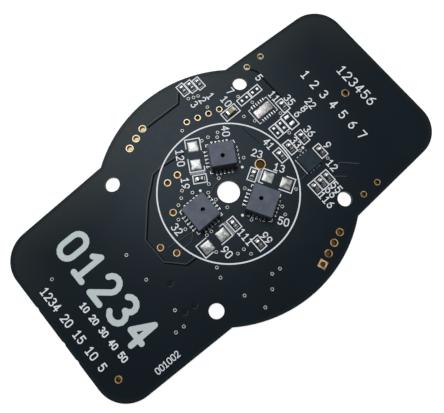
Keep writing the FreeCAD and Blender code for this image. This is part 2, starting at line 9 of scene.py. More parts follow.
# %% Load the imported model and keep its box
import bpy
import mathutils
import numpy as np
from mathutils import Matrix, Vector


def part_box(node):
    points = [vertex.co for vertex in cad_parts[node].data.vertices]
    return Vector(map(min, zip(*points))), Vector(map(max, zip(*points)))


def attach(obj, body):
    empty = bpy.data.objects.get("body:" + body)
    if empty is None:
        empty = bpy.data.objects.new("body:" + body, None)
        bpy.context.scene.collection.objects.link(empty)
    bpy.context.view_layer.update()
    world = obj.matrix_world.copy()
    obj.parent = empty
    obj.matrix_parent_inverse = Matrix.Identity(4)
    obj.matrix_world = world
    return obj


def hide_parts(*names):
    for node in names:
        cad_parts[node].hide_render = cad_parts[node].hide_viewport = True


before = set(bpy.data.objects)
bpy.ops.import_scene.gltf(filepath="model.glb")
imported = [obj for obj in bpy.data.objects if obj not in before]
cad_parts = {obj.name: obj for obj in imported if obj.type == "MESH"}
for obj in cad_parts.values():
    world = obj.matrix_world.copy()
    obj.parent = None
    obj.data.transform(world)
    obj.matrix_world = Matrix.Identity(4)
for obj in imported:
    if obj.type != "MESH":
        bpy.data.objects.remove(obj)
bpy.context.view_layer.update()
MM = 0.001
BOARD_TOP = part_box("board")[1][2] / MM
print("nodes", len(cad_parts), "board top at", round(BOARD_TOP, 3), "mm")

# %% [markdown]
# ## Shader maths that reads like arithmetic
#
# A procedural finish is a formula: how far a point lies from the board's edge, how strong the
# noise is there. Wiring Math nodes by hand hides that formula. The small class below wraps a
# socket, so that `1 - mask * 0.5` builds its nodes, and its one method `make` builds any other
# node from a type, its settings and its inputs.

# %% A wire that adds nodes when it is used in a sum
class Wire:
    """A socket that can be used in Python sums."""

    def __init__(self, socket):
        self.socket = socket
        self.tree = socket.id_data

    def make(self, kind, settings, inputs, output=0):
        """Any node: settings first, then each input's value or link; gives one output."""
        node = self.tree.nodes.new(kind)
        for name, value in settings.items():
            setattr(node, name, value)
        for name, value in inputs.items():
            if isinstance(value, Wire):
                self.tree.links.new(value.socket, node.inputs[name])
            else:
                node.inputs[name].default_value = value
        return Wire(node.outputs[output])

    def math(self, operation, *others):
        """A Math node with this wire first and the others after it."""
        inputs = dict(enumerate((self, *others)))
        return self.make("ShaderNodeMath", {"operation": operation}, inputs)

    def __add__(self, other):
        return self.math("ADD", other)

    __radd__ = __add__

    def __sub__(self, other):
        return self.math("SUBTRACT", other)

    def __rsub__(self, other):
        return self.make("ShaderNodeMath", {"operation": "SUBTRACT"}, {0: other, 1: self})

    def __mul__(self, other):
        return self.math("MULTIPLY", other)

    __rmul__ = __mul__

    def step(self, low, high):
        """0 below low, 1 above high, and a smooth rise between."""
        settings = {"interpolation_type": "SMOOTHSTEP", "clamp": True}
        return self.make(
            "ShaderNodeMapRange", settings, {"Value": self, "From Min": low, "From Max": high}
        )

    def parts(self):
        """The X, Y and Z of a vector."""
        return tuple(
            self.make("ShaderNodeSeparateXYZ", {}, {0: self}, output=axis) for axis in range(3)
        )


# %% Blends, noise and the start of every finish
def blend(factor, first, second):
    """Goes from the first colour to the second as the factor goes from 0 to 1."""
    mix = {"data_type": "RGBA"}
    first, second = [
        shade if isinstance(shade, Wire) else (*shade, 1.0) for shade in (first, second)
    ]
    return factor.make("ShaderNodeMix", mix, {0: factor, 6: first, 7: second}, output=2)


def fold(operation, wires):
    """The largest or the smallest of several wires, taken two at a time."""
    found = wires[0]
    for one in wires[1:]:
        found = found.math(operation, one)
    return found


def noise(place, scale, detail=3.0, roughness=0.55):
    """Soft random variation from 0 to 1, with scale features in a millimetre."""
    return place.make(
        "ShaderNodeTexNoise", {},
        {"Vector": place, "Scale": scale, "Detail": detail, "Roughness": roughness},
    )


def new_finish(name):
    """A new material, its shader, and a wire with each point's place in millimetres."""
    finish = bpy.data.materials.new(name)
    finish.use_nodes = True
    tree = finish.node_tree
    shader = tree.nodes["Principled BSDF"]
    place = Wire(tree.nodes.new("ShaderNodeTexCoord").outputs["Object"])
    place = place.make(
        "ShaderNodeVectorMath", {"operation": "SCALE"}, {0: place, "Scale": 1.0 / MM}
    )
    return finish, shader, place


def upward(place, low, high):
    """0 on upright sides and 1 on level faces, from the surface's own direction."""
    normal = place.make("ShaderNodeNewGeometry", {}, {}, output=1)
    return normal.parts()[2].math("ABSOLUTE").step(low, high)


def feed(shader, **wires):
    """Links wires, or sets plain values, on the shader's sockets: base_color is Base Color."""
    for name, value in wires.items():
        socket = shader.inputs[name.replace("_", " ").title().replace("Ior", "IOR")]
        if isinstance(value, Wire):
            value.tree.links.new(value.socket, socket)
        else:
            socket.default_value = value


def bump(height, distance, strength=1.0):
    """Turns a height from 0 to 1 into a surface that leans by that many millimetres."""
    return height.make(
        "ShaderNodeBump", {}, {"Height": height, "Distance": distance * MM, "Strength": strength}
    )


# %% [markdown]
# ## The board's outline as a distance
#
# On the real board the copper stops a little short of the routed edge, and the mask looks
# paler over that bare margin. A texture could paint it, but the outline is simple enough to
# compute: the distance to a tapered, rounded rectangle, and the distance to two flat arcs.
# The smaller one is the distance to the board. The floor uses the same formula.

# %% Distance from the edge, negative inside the board
HALF_LENGTH, HALF_MIDDLE, TAPER, CORNER = 35.0, 17.5, 0.0464, 5.4
BULGE_RADIUS, BULGE_SINK = 23.0, 1.65


def edge_distance(place):
    """The smaller of the distance to the wings and the distance to the round bulge.

    Wings: with a and b the amounts by which |x| and |y| pass the corner's centre, it is the
    length of their positive parts, plus the larger one where both are negative, less the
    corner's radius. Bulge: the distance from (0, -sink) with |y|, less the bulge's radius.
    """
    x, y, z = place.parts()
    x, y = x.math("ABSOLUTE"), y.math("ABSOLUTE")
    past_x = x - (HALF_LENGTH - CORNER)
    past_y = y + x * TAPER - (HALF_MIDDLE - CORNER)
    out_x, out_y = past_x.math("MAXIMUM", 0.0), past_y.math("MAXIMUM", 0.0)
    outside = (out_x * out_x + out_y * out_y).math("SQRT")
    inside = past_x.math("MAXIMUM", past_y).math("MINIMUM", 0.0)
    lift = y + BULGE_SINK
    bulge = (x * x + lift * lift).math("SQRT") - BULGE_RADIUS
    return (outside + inside - CORNER).math("MINIMUM", bulge)


def ring_distance(place, across, up):
    """How far a point lies, seen from above, from one point of the board."""
    x, y, z = place.parts()
    x, y = x - across, y - up
    return (x * x + y * y).math("SQRT")


SCREW_ACROSS, SCREW_UP = 13.95, 13.375
CENTRE_REACH, SCREW_REACH = 2.1, 1.45
OPEN_HOLES = {(0.0, 0.0): CENTRE_REACH}
OPEN_HOLES.update({(SCREW_ACROSS * a, SCREW_UP * b): SCREW_REACH for a in (-1, 1) for b in (-1, 1)})


def in_open_hole(place, softness):
    """1 inside any of the big drilled holes and 0 outside, seen from above."""
    return fold("MAXIMUM", [
        1 - ring_distance(place, *middle).step(radius - softness, radius)
        for middle, radius in OPEN_HOLES.items()
    ])


# %% [markdown]
# ## Solder mask, laminate and copper under the mask
#
# The mask is a thin black lacquer over glass-epoxy. It is satin, with a fine orange peel, and
# shows the copper under it as a step in height. It has a painted sheen, paler round the middle
# over the copper pour, and a painted highlight along the upper edges, towards the lamp. The
# routed sides are bare laminate: straw-coloured, with the weave's layers as faint lines, and
# the walls of the big holes get a painted shade, darker. One material does it all, because
# the surface's own direction tells a face from a side.

# %% The board's own finish
MASK_SHADES = ((0.0004, 0.0028, 0.0052), (0.0016, 0.0050, 0.0080))
MASK_TINT = (0.78, 0.90, 1.0, 1.0)
MARGIN_SHADE = (0.0040, 0.0075, 0.0090)
PAINTED_RIM_HIGHLIGHT = (0.015, 0.020, 0.020)
PAINTED_SHEEN_SHADE = (0.0075, 0.0135, 0.0200)
PAINTED_HIGHLIGHT_SHADE = (0.062, 0.072, 0.086)
PAINTED_SHADOW_SHADE = (0.0010, 0.0020, 0.0030)
DIP_SHADE = (0.0022, 0.0042, 0.0060)
LAMINATE_SHADES = ((0.27, 0.22, 0.13), (0.50, 0.44, 0.30))
PAINTED_BORE_SHADE = (0.010, 0.013, 0.015)
COPPER_MARGIN = 0.55
SHEEN_CENTRE, SHEEN_FADE = (4.0, 10.0), (29.0, 7.0)
RIM_BAND, UPPER_HALF = (-8.0, 0.5), (-2.0, 20.0)


def make_mask(name, line_shade=None, shine=0.10):
    """Black solder mask; a line shade paints a strip along a copper step, as highlight or shadow, or
    a dip.
    """
    finish, shader, place = new_finish(name)
    x, y, z = place.parts()
    cloud = noise(place, 0.09, 4.0).step(0.35, 0.68)
    grain = noise(place, 14.0, 3.0)
    shade = blend(cloud, *MASK_SHADES)
    shade = blend(grain.step(0.45, 0.75) * 0.3, shade, MARGIN_SHADE)
    height = grain * 0.25 + noise(place, 2.2, 2.0) * 0.6
    if line_shade:
        shade = blend(cloud * 0.3 + 0.6, shade, line_shade)
    else:
        edge = edge_distance(place)
        margin = (edge + noise(place, 3.0) * 0.08).step(-COPPER_MARGIN - 0.1, -COPPER_MARGIN + 0.1)
        # Painted sheen: the mask is paler round the middle, where the lamp's broad reflection falls,
        # over the copper pour that lies there
        painted_sheen = ring_distance(place, *SHEEN_CENTRE).step(*SHEEN_FADE)
        shade = blend(painted_sheen, shade, PAINTED_SHEEN_SHADE)
        # Painted highlight: the mask is paler in a band along the upper edges, the side towards the
        # lamp
        painted_rim_highlight = edge.step(*RIM_BAND) * y.step(*UPPER_HALF)
        shade = blend(painted_rim_highlight, shade, PAINTED_RIM_HIGHLIGHT)
        shade = blend(margin * 0.85, shade, MARGIN_SHADE)
        height = height - margin * 1.2
        layers = (z * 7.0 + noise(place, 1.5) * 0.8).math("FRACT").step(0.25, 0.6)
        laminate = blend(layers * (noise(place, 9.0) * 0.7 + 0.3), *LAMINATE_SHADES)
        # Painted shade: the walls of the big holes are darker than the routed sides
        laminate = blend(in_open_hole(place, 0.1), laminate, PAINTED_BORE_SHADE)
        shade = blend(upward(place, 0.4, 0.6), laminate, shade)
    rough = noise(place, 1.1, 3.0) * 0.08 + 0.38
    feed(shader, base_color=shade, roughness=rough, normal=bump(height, 0.006, 0.7))
    feed(shader, specular_ior_level=shine, specular_tint=MASK_TINT)
    return finish


solder_mask = make_mask("solder_mask")
# Mask strips with a painted highlight and a painted shadow, for the lit and shaded sides of a copper
# step
mask_painted_highlight = make_mask("mask_painted_highlight", PAINTED_HIGHLIGHT_SHADE)
mask_painted_shadow = make_mask("mask_painted_shadow", PAINTED_SHADOW_SHADE, 0.02)
mask_in_dip = make_mask("mask_in_dip", DIP_SHADE, 0.07)

# %% [markdown]
# ## Metal finishes
#
# Bare pads and soldered ends are tin, which freezes in a mottled skin, so its roughness and
# its bump both vary over a few tenths of a millimetre. A metal has no colour of its own beyond
# its tint, so most of what we see is the uneven surface. How bright the tin looks depends on
# how thick and how slanted it lies and how the light falls on it, so each place has a tin of
# its own, in a table: the large pads, the small ones, the driver's pad, the lit and the shaded
# chip ends, the lit and the shaded package lands, and the thin rings of the vias. The lit and
# shaded ends and lands are copies with their light and shade painted into the tint.

# %% Tins and via plating
def make_metal(name, dark, pale, patch_scale, rough_range, relief, metallic_share):
    """A metal whose tint, roughness and height all follow noise at two sizes.

    A frozen solder skin scatters part of the light like chalk, so its metallic share is
    below 1 and dips in the rougher patches.
    """
    finish, shader, place = new_finish(name)
    patch = noise(place, patch_scale, 4.0).step(0.3, 0.7)
    speck = noise(place, patch_scale * 6.0, 2.0)
    low, high = rough_range
    feed(
        shader,
        base_color=blend(patch, dark, pale),
        metallic=patch * -0.15 + metallic_share,
        roughness=patch * (high - low) + speck * 0.08 + low,
        normal=bump(patch * 0.6 + speck * 0.4, relief, 0.8),
    )
    return finish


METALS = {
    "reflowed_tin": ((0.10, 0.106, 0.105), (0.28, 0.29, 0.287), 1.4, (0.25, 0.42), 0.035, 0.95),
    "bright_tin": ((0.38, 0.40, 0.41), (0.76, 0.78, 0.79), 2.5, (0.25, 0.42), 0.04, 1.0),
    "pad_tin": ((0.12, 0.115, 0.12), (0.36, 0.345, 0.35), 1.8, (0.24, 0.42), 0.04, 0.95),
    "shaded_tin": ((0.020, 0.022, 0.024), (0.13, 0.13, 0.13), 2.5, (0.30, 0.50), 0.04, 1.0),
    "via_plating": ((0.20, 0.204, 0.19), (0.42, 0.43, 0.405), 3.0, (0.34, 0.5), 0.012, 0.95),
    "lit_end_tin": ((0.54, 0.56, 0.57), (0.90, 0.92, 0.93), 2.5, (0.25, 0.42), 0.04, 1.0),
    "land_tin": ((0.22, 0.23, 0.24), (0.50, 0.51, 0.52), 2.5, (0.25, 0.42), 0.04, 1.0),
    "shaded_land_tin": ((0.012, 0.013, 0.015), (0.075, 0.077, 0.08), 2.5, (0.30, 0.50), 0.04, 1.0),
}
finishes = {name: make_metal(name, *values) for name, values in METALS.items()}
print("metals:", ", ".join(finishes))

# %% [markdown]
# ## Moulded packages and ink
#
# The sensor caps are a blue-grey moulding with a matt, fine-grained skin, and their sides get
# a painted shade, darker than the top. The memory is dark epoxy, and a silicon die is smooth.
# The ink is a white paint film, not quite even and a shade cooler than the tin. The large
# numbers are duller than the small print. All of these are one recipe with other numbers, so
# they share a function.

# %% Matt mouldings and printed ink
def make_moulding(name, dark, pale, patch_scale, rough, relief, shine, side_shade=None):
    """A matt moulding: slow patches of shade under a fine grain, and a painted shade on the sides."""
    finish, shader, place = new_finish(name)
    patch = noise(place, patch_scale, 4.0).step(0.3, 0.7)
    grain = noise(place, 22.0, 2.0)
    shade = blend(patch * 0.7 + grain * 0.3, dark, pale)
    if side_shade:
        shade = blend(upward(place, 0.2, 0.8), side_shade, shade)
    feed(
        shader,
        base_color=shade,
        roughness=grain * 0.16 + rough,
        normal=bump(grain * 0.6 + patch * 0.4, relief, 0.6),
        specular_ior_level=shine,
    )
    return finish


# Painted shade on the caps' sides, darker than their tops
PAINTED_SIDE_SHADE = (0.020, 0.025, 0.034)
MOULDINGS = {
    "sensor_cap": ((0.058, 0.074, 0.102), (0.094, 0.112, 0.146), 0.8, 0.50, 0.010, 0.2, PAINTED_SIDE_SHADE),
    "package_laminate": ((0.012, 0.014, 0.017), (0.03, 0.033, 0.038), 2.0, 0.45, 0.008, 0.3),
    "sensor_die": ((0.006, 0.008, 0.014), (0.015, 0.018, 0.03), 3.0, 0.12, 0.002, 0.3),
    "black_epoxy": ((0.010, 0.018, 0.026), (0.020, 0.032, 0.044), 1.5, 0.42, 0.010, 0.10),
    "silkscreen_ink": ((0.66, 0.70, 0.75), (0.88, 0.91, 0.95), 5.0, 0.55, 0.010, 0.3),
    "bold_ink": ((0.42, 0.49, 0.50), (0.60, 0.67, 0.68), 6.0, 0.60, 0.010, 0.3),
    "via_shade": ((0.006, 0.006, 0.006), (0.02, 0.018, 0.014), 5.0, 0.60, 0.005, 0.05),
}
finishes.update({name: make_moulding(name, *values) for name, values in MOULDINGS.items()})
print("mouldings and inks:", ", ".join(MOULDINGS))

# %% [markdown]
# ## Two-terminal chips
#
# A chip is a fired ceramic brick with a tinned cap on each end. The solid already has ends
# that stand proud, so the finish only has to know where they are: a point belongs to a cap
# when it lies far enough from the chip's middle along its length. The chips of the sensor
# cells are turned, so each finish measures along its own chip's direction. The end that leans
# to the light gets a painted highlight and the other one a painted shade, so there are three
# tins for the caps.

# %% One finish for each chip, measured along its own length
SMALL_TERMINAL, LARGE_TERMINAL, LARGE_FROM = 0.25, 0.35, 0.7
# Painted light on the caps: lit shades for the end towards the lamp, a painted shade for the other
LIT_TIN = ((0.34, 0.35, 0.36), (0.84, 0.86, 0.87))
MID_TIN = ((0.12, 0.125, 0.12), (0.40, 0.41, 0.40))
SHADED_END_TIN = ((0.05, 0.052, 0.050), (0.20, 0.205, 0.20))


def make_chip_finish(name, centre, along, half_body, glaze_shades, lit_shades):
    """Tin beyond half_body from the centre along the chip, glazed ceramic between; the +y cap lit,
    the other a painted shade.
    """
    finish, shader, place = new_finish(name + "_finish")
    x, y, z = place.parts()
    reach = (x - centre[0]) * along[0] + (y - centre[1]) * along[1]
    cap = (reach.math("ABSOLUTE") + noise(place, 9.0) * 0.05).step(half_body, half_body + 0.05)
    patch = noise(place, 5.0, 4.0).step(0.3, 0.7)
    # Painted light: the cap towards +y, the lamp's side, gets the lit shades, the other a painted
    # shade
    tin = blend(reach.step(-0.05, 0.05), blend(patch, *SHADED_END_TIN), blend(patch, *lit_shades))
    glaze = blend(patch, *glaze_shades)
    feed(
        shader,
        base_color=blend(cap, glaze, tin),
        metallic=cap,
        roughness=patch * 0.2 + cap * -0.1 + 0.34,
        normal=bump(noise(place, 8.0) * (cap * 0.7 + 0.3), 0.03, 0.7),
        specular_ior_level=0.25,
    )
    return finish


def turn_about_middle(path, degrees):
    """Turns points of the board's plane about the centre hole."""
    angle = np.radians(degrees)
    spin = np.array([[np.cos(angle), np.sin(angle)], [-np.sin(angle), np.cos(angle)]])
    return np.asarray(path, dtype=float) @ spin


def flat_points(node):
    """A node's vertices as an array in millimetres."""
    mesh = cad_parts[node].data
    points = np.empty(len(mesh.vertices) * 3)
    mesh.vertices.foreach_get("co", points)
    return points.reshape(-1, 3) / MM


def long_axis(node):
    """A node's centre, the direction in which its flat outline is longest, and half its length.

    The direction is the first principal axis of its corners seen from above: the singular
    vector of the centred corners with the largest singular value. It points to +y.
    """
    corners = flat_points(node)[:, :2]
    flat = np.unique(np.round(corners, 4), axis=0)
    centre = (flat.min(axis=0) + flat.max(axis=0)) / 2
    direction = np.linalg.svd(flat - flat.mean(axis=0), full_matrices=False)[2][0]
    direction = direction * (1 if direction[1] > 0 else -1)
    return centre, direction, np.ptp(corners @ direction) / 2


def solids_of(node):
    """Splits a node into its separate boxes: centre, half sizes and turn of each, seen from above.

    The triangles are grouped by welded corners that they share. Each group's turn is the one
    whose rectangle round the group has the smallest area, out of the directions between its
    corners, and its half sizes are that rectangle's.
    """
    points = np.round(flat_points(node), 4)
    unique, index = np.unique(points, axis=0, return_inverse=True)
    index = index.ravel()
    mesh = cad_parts[node].data
    corners = np.empty(len(mesh.loops), dtype=int)
    mesh.loops.foreach_get("vertex_index", corners)
    triangles = index[corners].reshape(-1, 3)
    group = np.arange(len(unique))
    for sweep in range(40):
        smallest = group[triangles].min(axis=1)
        update = group.copy()
        np.minimum.at(update, triangles.ravel(), np.repeat(smallest, 3))
        if np.array_equal(update, group):
            break
        group = update
    found = []
    for label in np.unique(group):
        body = unique[group == label]
        flat = np.unique(body[:, :2], axis=0)
        sides = (flat[:, None] - flat[None]).reshape(-1, 2)
        sides = sides[np.linalg.norm(sides, axis=1) > 0.02]
        turns = np.unique(np.round(np.arctan2(sides[:, 1], sides[:, 0]) % (np.pi / 2), 3))
        along = flat[:, 0] * np.cos(turns[:, None]) + flat[:, 1] * np.sin(turns[:, None])
        aside = flat[:, 1] * np.cos(turns[:, None]) - flat[:, 0] * np.sin(turns[:, None])
        angle = np.degrees(turns[np.argmin(np.ptp(along, axis=1) * np.ptp(aside, axis=1))])
        square = turn_about_middle(flat, -angle)
        middle = (square.min(axis=0) + square.max(axis=0)) / 2
        half = (square.max(axis=0) - square.min(axis=0)) / 2
        found.append((turn_about_middle(middle, angle), half, angle))
    return found


print("lamp resistor:", [np.round(value, 2).tolist() for value in long_axis("left_lamp_resistor")])

# %% [markdown]
# ## Dressing the solids
#
# Each solid's name says what it is, so a short table from the ends of names to finishes
# dresses them, and the first line that fits counts. What is left are the chips, each with a
# finish of its own. A weld and a bevel of a few hundredths of a millimetre take the razor edge
# off chips and packages, because a real edge always catches a thin line of light.

# %% Ways to soften and dress a solid
def soften(node, width, turns=2):
    """Welds the node's loose triangles and rounds its sharp edges."""
    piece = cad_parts[node]
    weld = piece.modifiers.new("weld", "WELD")
    weld.merge_threshold = 0.001 * MM
    edge = piece.modifiers.new("soft_edge", "BEVEL")
    edge.width = width * MM
    edge.segments = turns
    edge.limit_method = "ANGLE"
    edge.angle_limit = 0.6


def dress(node, finish):
    """Puts a finish on every material slot of a node."""
    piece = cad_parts[node]
    if not piece.material_slots:
        piece.data.materials.append(finish)
    for entry in piece.material_slots:
        entry.material = finish


# %% [markdown]
# ## Gold rings
#
# A plated ring is gold over nickel, but only its flat is pale. Its lip and its bore get a
# painted brown shade, and the black mask laps over its outer edge. All of that follows from how
# far a point lies from its ring's centre, so one finish can serve every ring once it knows where
# the rings are. Rings on the lower side of the board get a warmer, darker painted shade.

# %% Gold that knows where its holes are
RING_FLAT, THIN_FLAT, RIBBON_FLAT = 0.13, 0.09, 0.15
MASK_LAP, PAST_RINGS = (0.085, 0.115), (0.4, 0.5)
GOLD_FLAT = ((0.125, 0.108, 0.072), (0.34, 0.305, 0.225))
SHADED_WARM_FLAT = ((0.16, 0.105, 0.052), (0.42, 0.30, 0.16))
PAINTED_LIP_SHADE = ((0.030, 0.018, 0.008), (0.100, 0.062, 0.026))
# Each drilled hole's centre, then the radii of its ring and its hole and its flat's width
drilled_holes = {
    (16.85, 14.82): (0.58, 0.38, RING_FLAT), (20.0, 14.82): (0.58, 0.38, RING_FLAT),
    (16.85, -14.82): (0.56, 0.38, RING_FLAT), (20.0, -14.82): (0.56, 0.38, RING_FLAT),
    (-6.8, 7.66): (0.60, 0.38, THIN_FLAT), (-4.7, 7.66): (0.60, 0.38, THIN_FLAT),
    (-9.22, 3.21): (0.60, 0.38, THIN_FLAT), (-14.39, 0.09): (0.60, 0.38, RING_FLAT),
    (-12.94, -2.28): (0.60, 0.38, RING_FLAT), (-31.8, -11.36): (0.60, 0.38, RING_FLAT),
    (26.8, 0.19): (0.72, 0.45, RING_FLAT), (7.08, 0.15): (0.92, 0.75, THIN_FLAT),
}
inner_edges = [(centre, ring - flat) for centre, (ring, hole, flat) in drilled_holes.items()]
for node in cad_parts:
    if node.endswith("_header_holes"):
        flat = RIBBON_FLAT if node == "ribbon_header_holes" else RING_FLAT
        inner_edges += [(tuple(centre), half.min() - flat) for centre, half, turn in solids_of(node)]


def make_ring_finish(name):
    """Gold, pale on the flat of a ring, with a painted brown shade on its lip and in its bore.

    The pale flat begins at a radius of its own on each ring. How far a point lies outside it
    is the smallest, over all the rings, of its distance to the centre less that radius.
    Past the flat's width the black mask laps over the ring's outer edge. What lies farther
    out than any ring is the square pad round pin one, which is pale all over.
    """
    finish, shader, place = new_finish(name)
    nearest = fold("MINIMUM", [
        ring_distance(place, *centre) - float(radius) for centre, radius in inner_edges
    ])
    patch = noise(place, 1.8, 4.0).step(0.3, 0.7)
    # Painted shade: rings on the lower side, away from the lamp, are warmer and darker
    lower_side = place.parts()[1].step(6.0, -10.0)
    pale = blend(lower_side, blend(patch, *GOLD_FLAT), blend(patch, *SHADED_WARM_FLAT))
    flat = (nearest + patch * 0.03).step(-0.03, 0.03)
    lapped = nearest.step(*MASK_LAP) * (1 - nearest.step(*PAST_RINGS))
    feed(
        shader,
        base_color=blend(lapped, blend(flat, blend(patch, *PAINTED_LIP_SHADE), pale), MARGIN_SHADE),
        metallic=(flat * 0.2 + 0.75) * (1 - lapped),
        roughness=patch * 0.14 + 0.30,
        normal=bump(patch * 0.6 + noise(place, 10.0, 2.0) * 0.4, 0.012, 0.8),
        specular_ior_level=0.1,
    )
    return finish


gold_plating = make_ring_finish("gold_plating")
print("rings with a flat of their own:", len(inner_edges))

# %% Dress every node
CAP_EDGE, CHIP_EDGE = 0.05, 0.03
# The end of a node's name, its finish, and the width of its rounded edges
DRESSES = (
    ("board", solder_mask, 0), ("_holes", gold_plating, 0), ("_hole", gold_plating, 0),
    ("_sensor_lands", finishes["bright_tin"], 0), ("memory_chip_lands", finishes["bright_tin"], 0),
    ("_lands", finishes["reflowed_tin"], 0), ("_pads", finishes["reflowed_tin"], 0),
    ("_driver_pad", finishes["reflowed_tin"], 0), ("_sensor_cap", finishes["sensor_cap"], CAP_EDGE),
    ("_sensor_base", finishes["package_laminate"], 0), ("_sensor_die", finishes["sensor_die"], 0),
    ("memory_chip", finishes["black_epoxy"], CHIP_EDGE),
)
chips = []
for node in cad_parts:
    fitting = [(finish, edge) for ending, finish, edge in DRESSES if node.endswith(ending)]
    if not fitting:
        chips.append(node)
        continue
    dress(node, fitting[0][0])
    if fitting[0][1]:
        soften(node, fitting[0][1])

# A chip's glaze goes by the first of these words that its name holds
GLAZES = {
    "lamp_resistor": ((0.045, 0.058, 0.054), (0.12, 0.14, 0.13)),
    "resistor": ((0.010, 0.010, 0.012), (0.030, 0.030, 0.034)),
    "diode": ((0.014, 0.014, 0.015), (0.05, 0.05, 0.052)),
    "supply_capacitor": ((0.17, 0.145, 0.055), (0.36, 0.31, 0.14)),
    "capacitor": ((0.044, 0.040, 0.032), (0.10, 0.090, 0.070)),
}


def is_dull(node):
    """Whether the end that leans to the light also gets a dimmer tin and shaded solder: on the diodes
    and one capacitor.
    """
    return "diode" in node or node == "supply_capacitor"


for node in chips:
    centre, along, half = long_axis(node)
    glaze = next(shades for word, shades in GLAZES.items() if word in node)
    terminal = LARGE_TERMINAL if half > LARGE_FROM else SMALL_TERMINAL
    ends = MID_TIN if is_dull(node) else LIT_TIN
    dress(node, make_chip_finish(node, centre, along, half - terminal, glaze, ends))
    soften(node, CHIP_EDGE)
print("dressed", len(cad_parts), "nodes,", len(chips), "of them chips")

# %% [markdown]
# ## Surfaces from arrays
#
# Everything that follows is a surface worked out with numpy. A helper turns an array of
# points and an array of four-cornered faces into a mesh, and joins many small shapes into one
# piece. Each shape below is either a profile carried along a path, such as ink, or a profile
# turned about an axis, such as a ring, or a height over a grid, such as solder.

# %% From arrays to a piece that rides on the board
def join(shapes):
    """Stacks (points, faces) pairs into one pair, moving each pair's face numbers along."""
    starts = np.cumsum([0] + [len(points) for points, faces in shapes[:-1]])
    points = np.concatenate([shape[0] for shape in shapes])
    faces = np.concatenate([shape[1] + start for shape, start in zip(shapes, starts)])
    return points, faces


def add_piece(name, shapes, finish, smooth=False, weld=False):
    """Makes one mesh object from shapes in millimetres and lets it ride with the board.

    Welding merges points that coincide, such as a ring of radius 0 on an axis, and turns the
    faces that touch it into triangles.
    """
    points, faces = join(shapes)
    if weld:
        points, index = np.unique(np.round(points, 6), axis=0, return_inverse=True)
        faces = index.ravel()[faces]
    faces = [list(dict.fromkeys(face)) for face in faces.tolist()]
    faces = [face for face in faces if len(face) > 2]
    mesh = bpy.data.meshes.new(name)
    mesh.from_pydata((points * MM).tolist(), [], faces)
    mesh.polygons.foreach_set("use_smooth", np.full(len(faces), smooth))
    mesh.materials.append(finish)
    mesh.validate()
    mesh.update()
    piece = bpy.data.objects.new(name, mesh)
    bpy.context.collection.objects.link(piece)
    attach(piece, "root")
    print(name, len(faces), "faces")
    return piece


# %% A flat band along a path
SHARPEST_MITRE = 0.45


def band(path, width, low, high, closed=False, square_ends=True):
    """A closed strip of ink or copper along a path of points in the board's plane.

    Each point moves sideways by half the width along the mean of its two neighbours'
    normals, stretched by one over the cosine of half the turn so that the sides stay
    parallel. Four copies of the path, two low and two high, form the strip's section.
    """
    path = np.asarray(path, dtype=float)
    if closed:
        before, after = path - np.roll(path, 1, axis=0), np.roll(path, -1, axis=0) - path
    else:
        steps = np.diff(path, axis=0)
        before, after = np.vstack([steps[:1], steps]), np.vstack([steps, steps[-1:]])
    before = before / np.linalg.norm(before, axis=1, keepdims=True)
    after = after / np.linalg.norm(after, axis=1, keepdims=True)
    if square_ends and not closed:
        path = path.copy()
        path[0] = path[0] - after[0] * width / 2
        path[-1] = path[-1] + before[-1] * width / 2
    middle = before + after
    middle = middle / np.maximum(np.linalg.norm(middle, axis=1, keepdims=True), 1e-6)
    stretch = 1.0 / np.maximum((middle * after).sum(axis=1, keepdims=True), SHARPEST_MITRE)
    side = np.stack([-middle[:, 1], middle[:, 0]], axis=1) * stretch * width / 2
    left, right = path + side, path - side
    count = len(path)

    def at(flat, height):
        """One copy of a path, at one height."""
        return np.column_stack([flat, np.full(count, height)])

    points = np.vstack([at(right, low), at(left, low), at(left, high), at(right, high)])
    spans = count if closed else count - 1
    start = np.arange(spans)
    end = (start + 1) % count
    corner = np.array([0, 1, 2, 3]) * count
    following = np.roll(corner, -1)
    faces = np.stack([
        start[:, None] + corner, start[:, None] + following,
        end[:, None] + following, end[:, None] + corner,
    ], axis=-1).reshape(-1, 4)
    if not closed:
        caps = np.array([corner[::-1], corner + count - 1])
        faces = np.vstack([faces, caps])
    return points, faces


# %% A profile turned about an upright axis
def turned(profile, centre, sides):
    """A closed ring: each (radius, height) of the profile carried round the centre."""
    profile = np.asarray(profile, dtype=float)
    angle = np.arange(sides) * 2 * np.pi / sides
    radius, height = profile[:, 0][:, None], profile[:, 1][:, None]
    x = centre[0] + radius * np.cos(angle)
    y = centre[1] + radius * np.sin(angle)
    points = np.stack([x, y, np.broadcast_to(height, x.shape)], axis=-1).reshape(-1, 3)
    row, column = np.meshgrid(np.arange(len(profile)), np.arange(sides), indexing="ij")
    below, beside = (row + 1) % len(profile), (column + 1) % sides
    faces = np.stack([
        row * sides + column, row * sides + beside,
        below * sides + beside, below * sides + column,
    ], axis=-1).reshape(-1, 4)
    return points, faces


# %% [markdown]
# ## The printed ring, boxes and marks
#
# The white print shows where parts go. The real film is about 0.02 mm thick, so it is made as
# thin strips with mitred corners, which stay crisp at any distance and catch light at their
# edges. A decal would do from afar, but a strip needs no picture. Places are in millimetres
# on the board, read off the photograph.

# %% Print that lies straight on the board
INK_LOW, INK_HIGH = BOARD_TOP - 0.01, BOARD_TOP + 0.025
BOX_LINE = 0.16


def ink(path, width=BOX_LINE, closed=False):
    """A strip of print along a path."""
    return band(path, width, INK_LOW, INK_HIGH, closed)


def pen_dot(centre, radius, high):
    """A round spot of ink: a low drum whose profile starts and ends on its axis.

    What it stands above the other ink it also goes deeper, so that two drums at one corner
    share no face.
    """
    low = INK_LOW - (high - INK_HIGH)
    drum = [(0.0, low), (radius, low), (radius, high), (0.0, high)]
    return turned(drum, centre, 20)


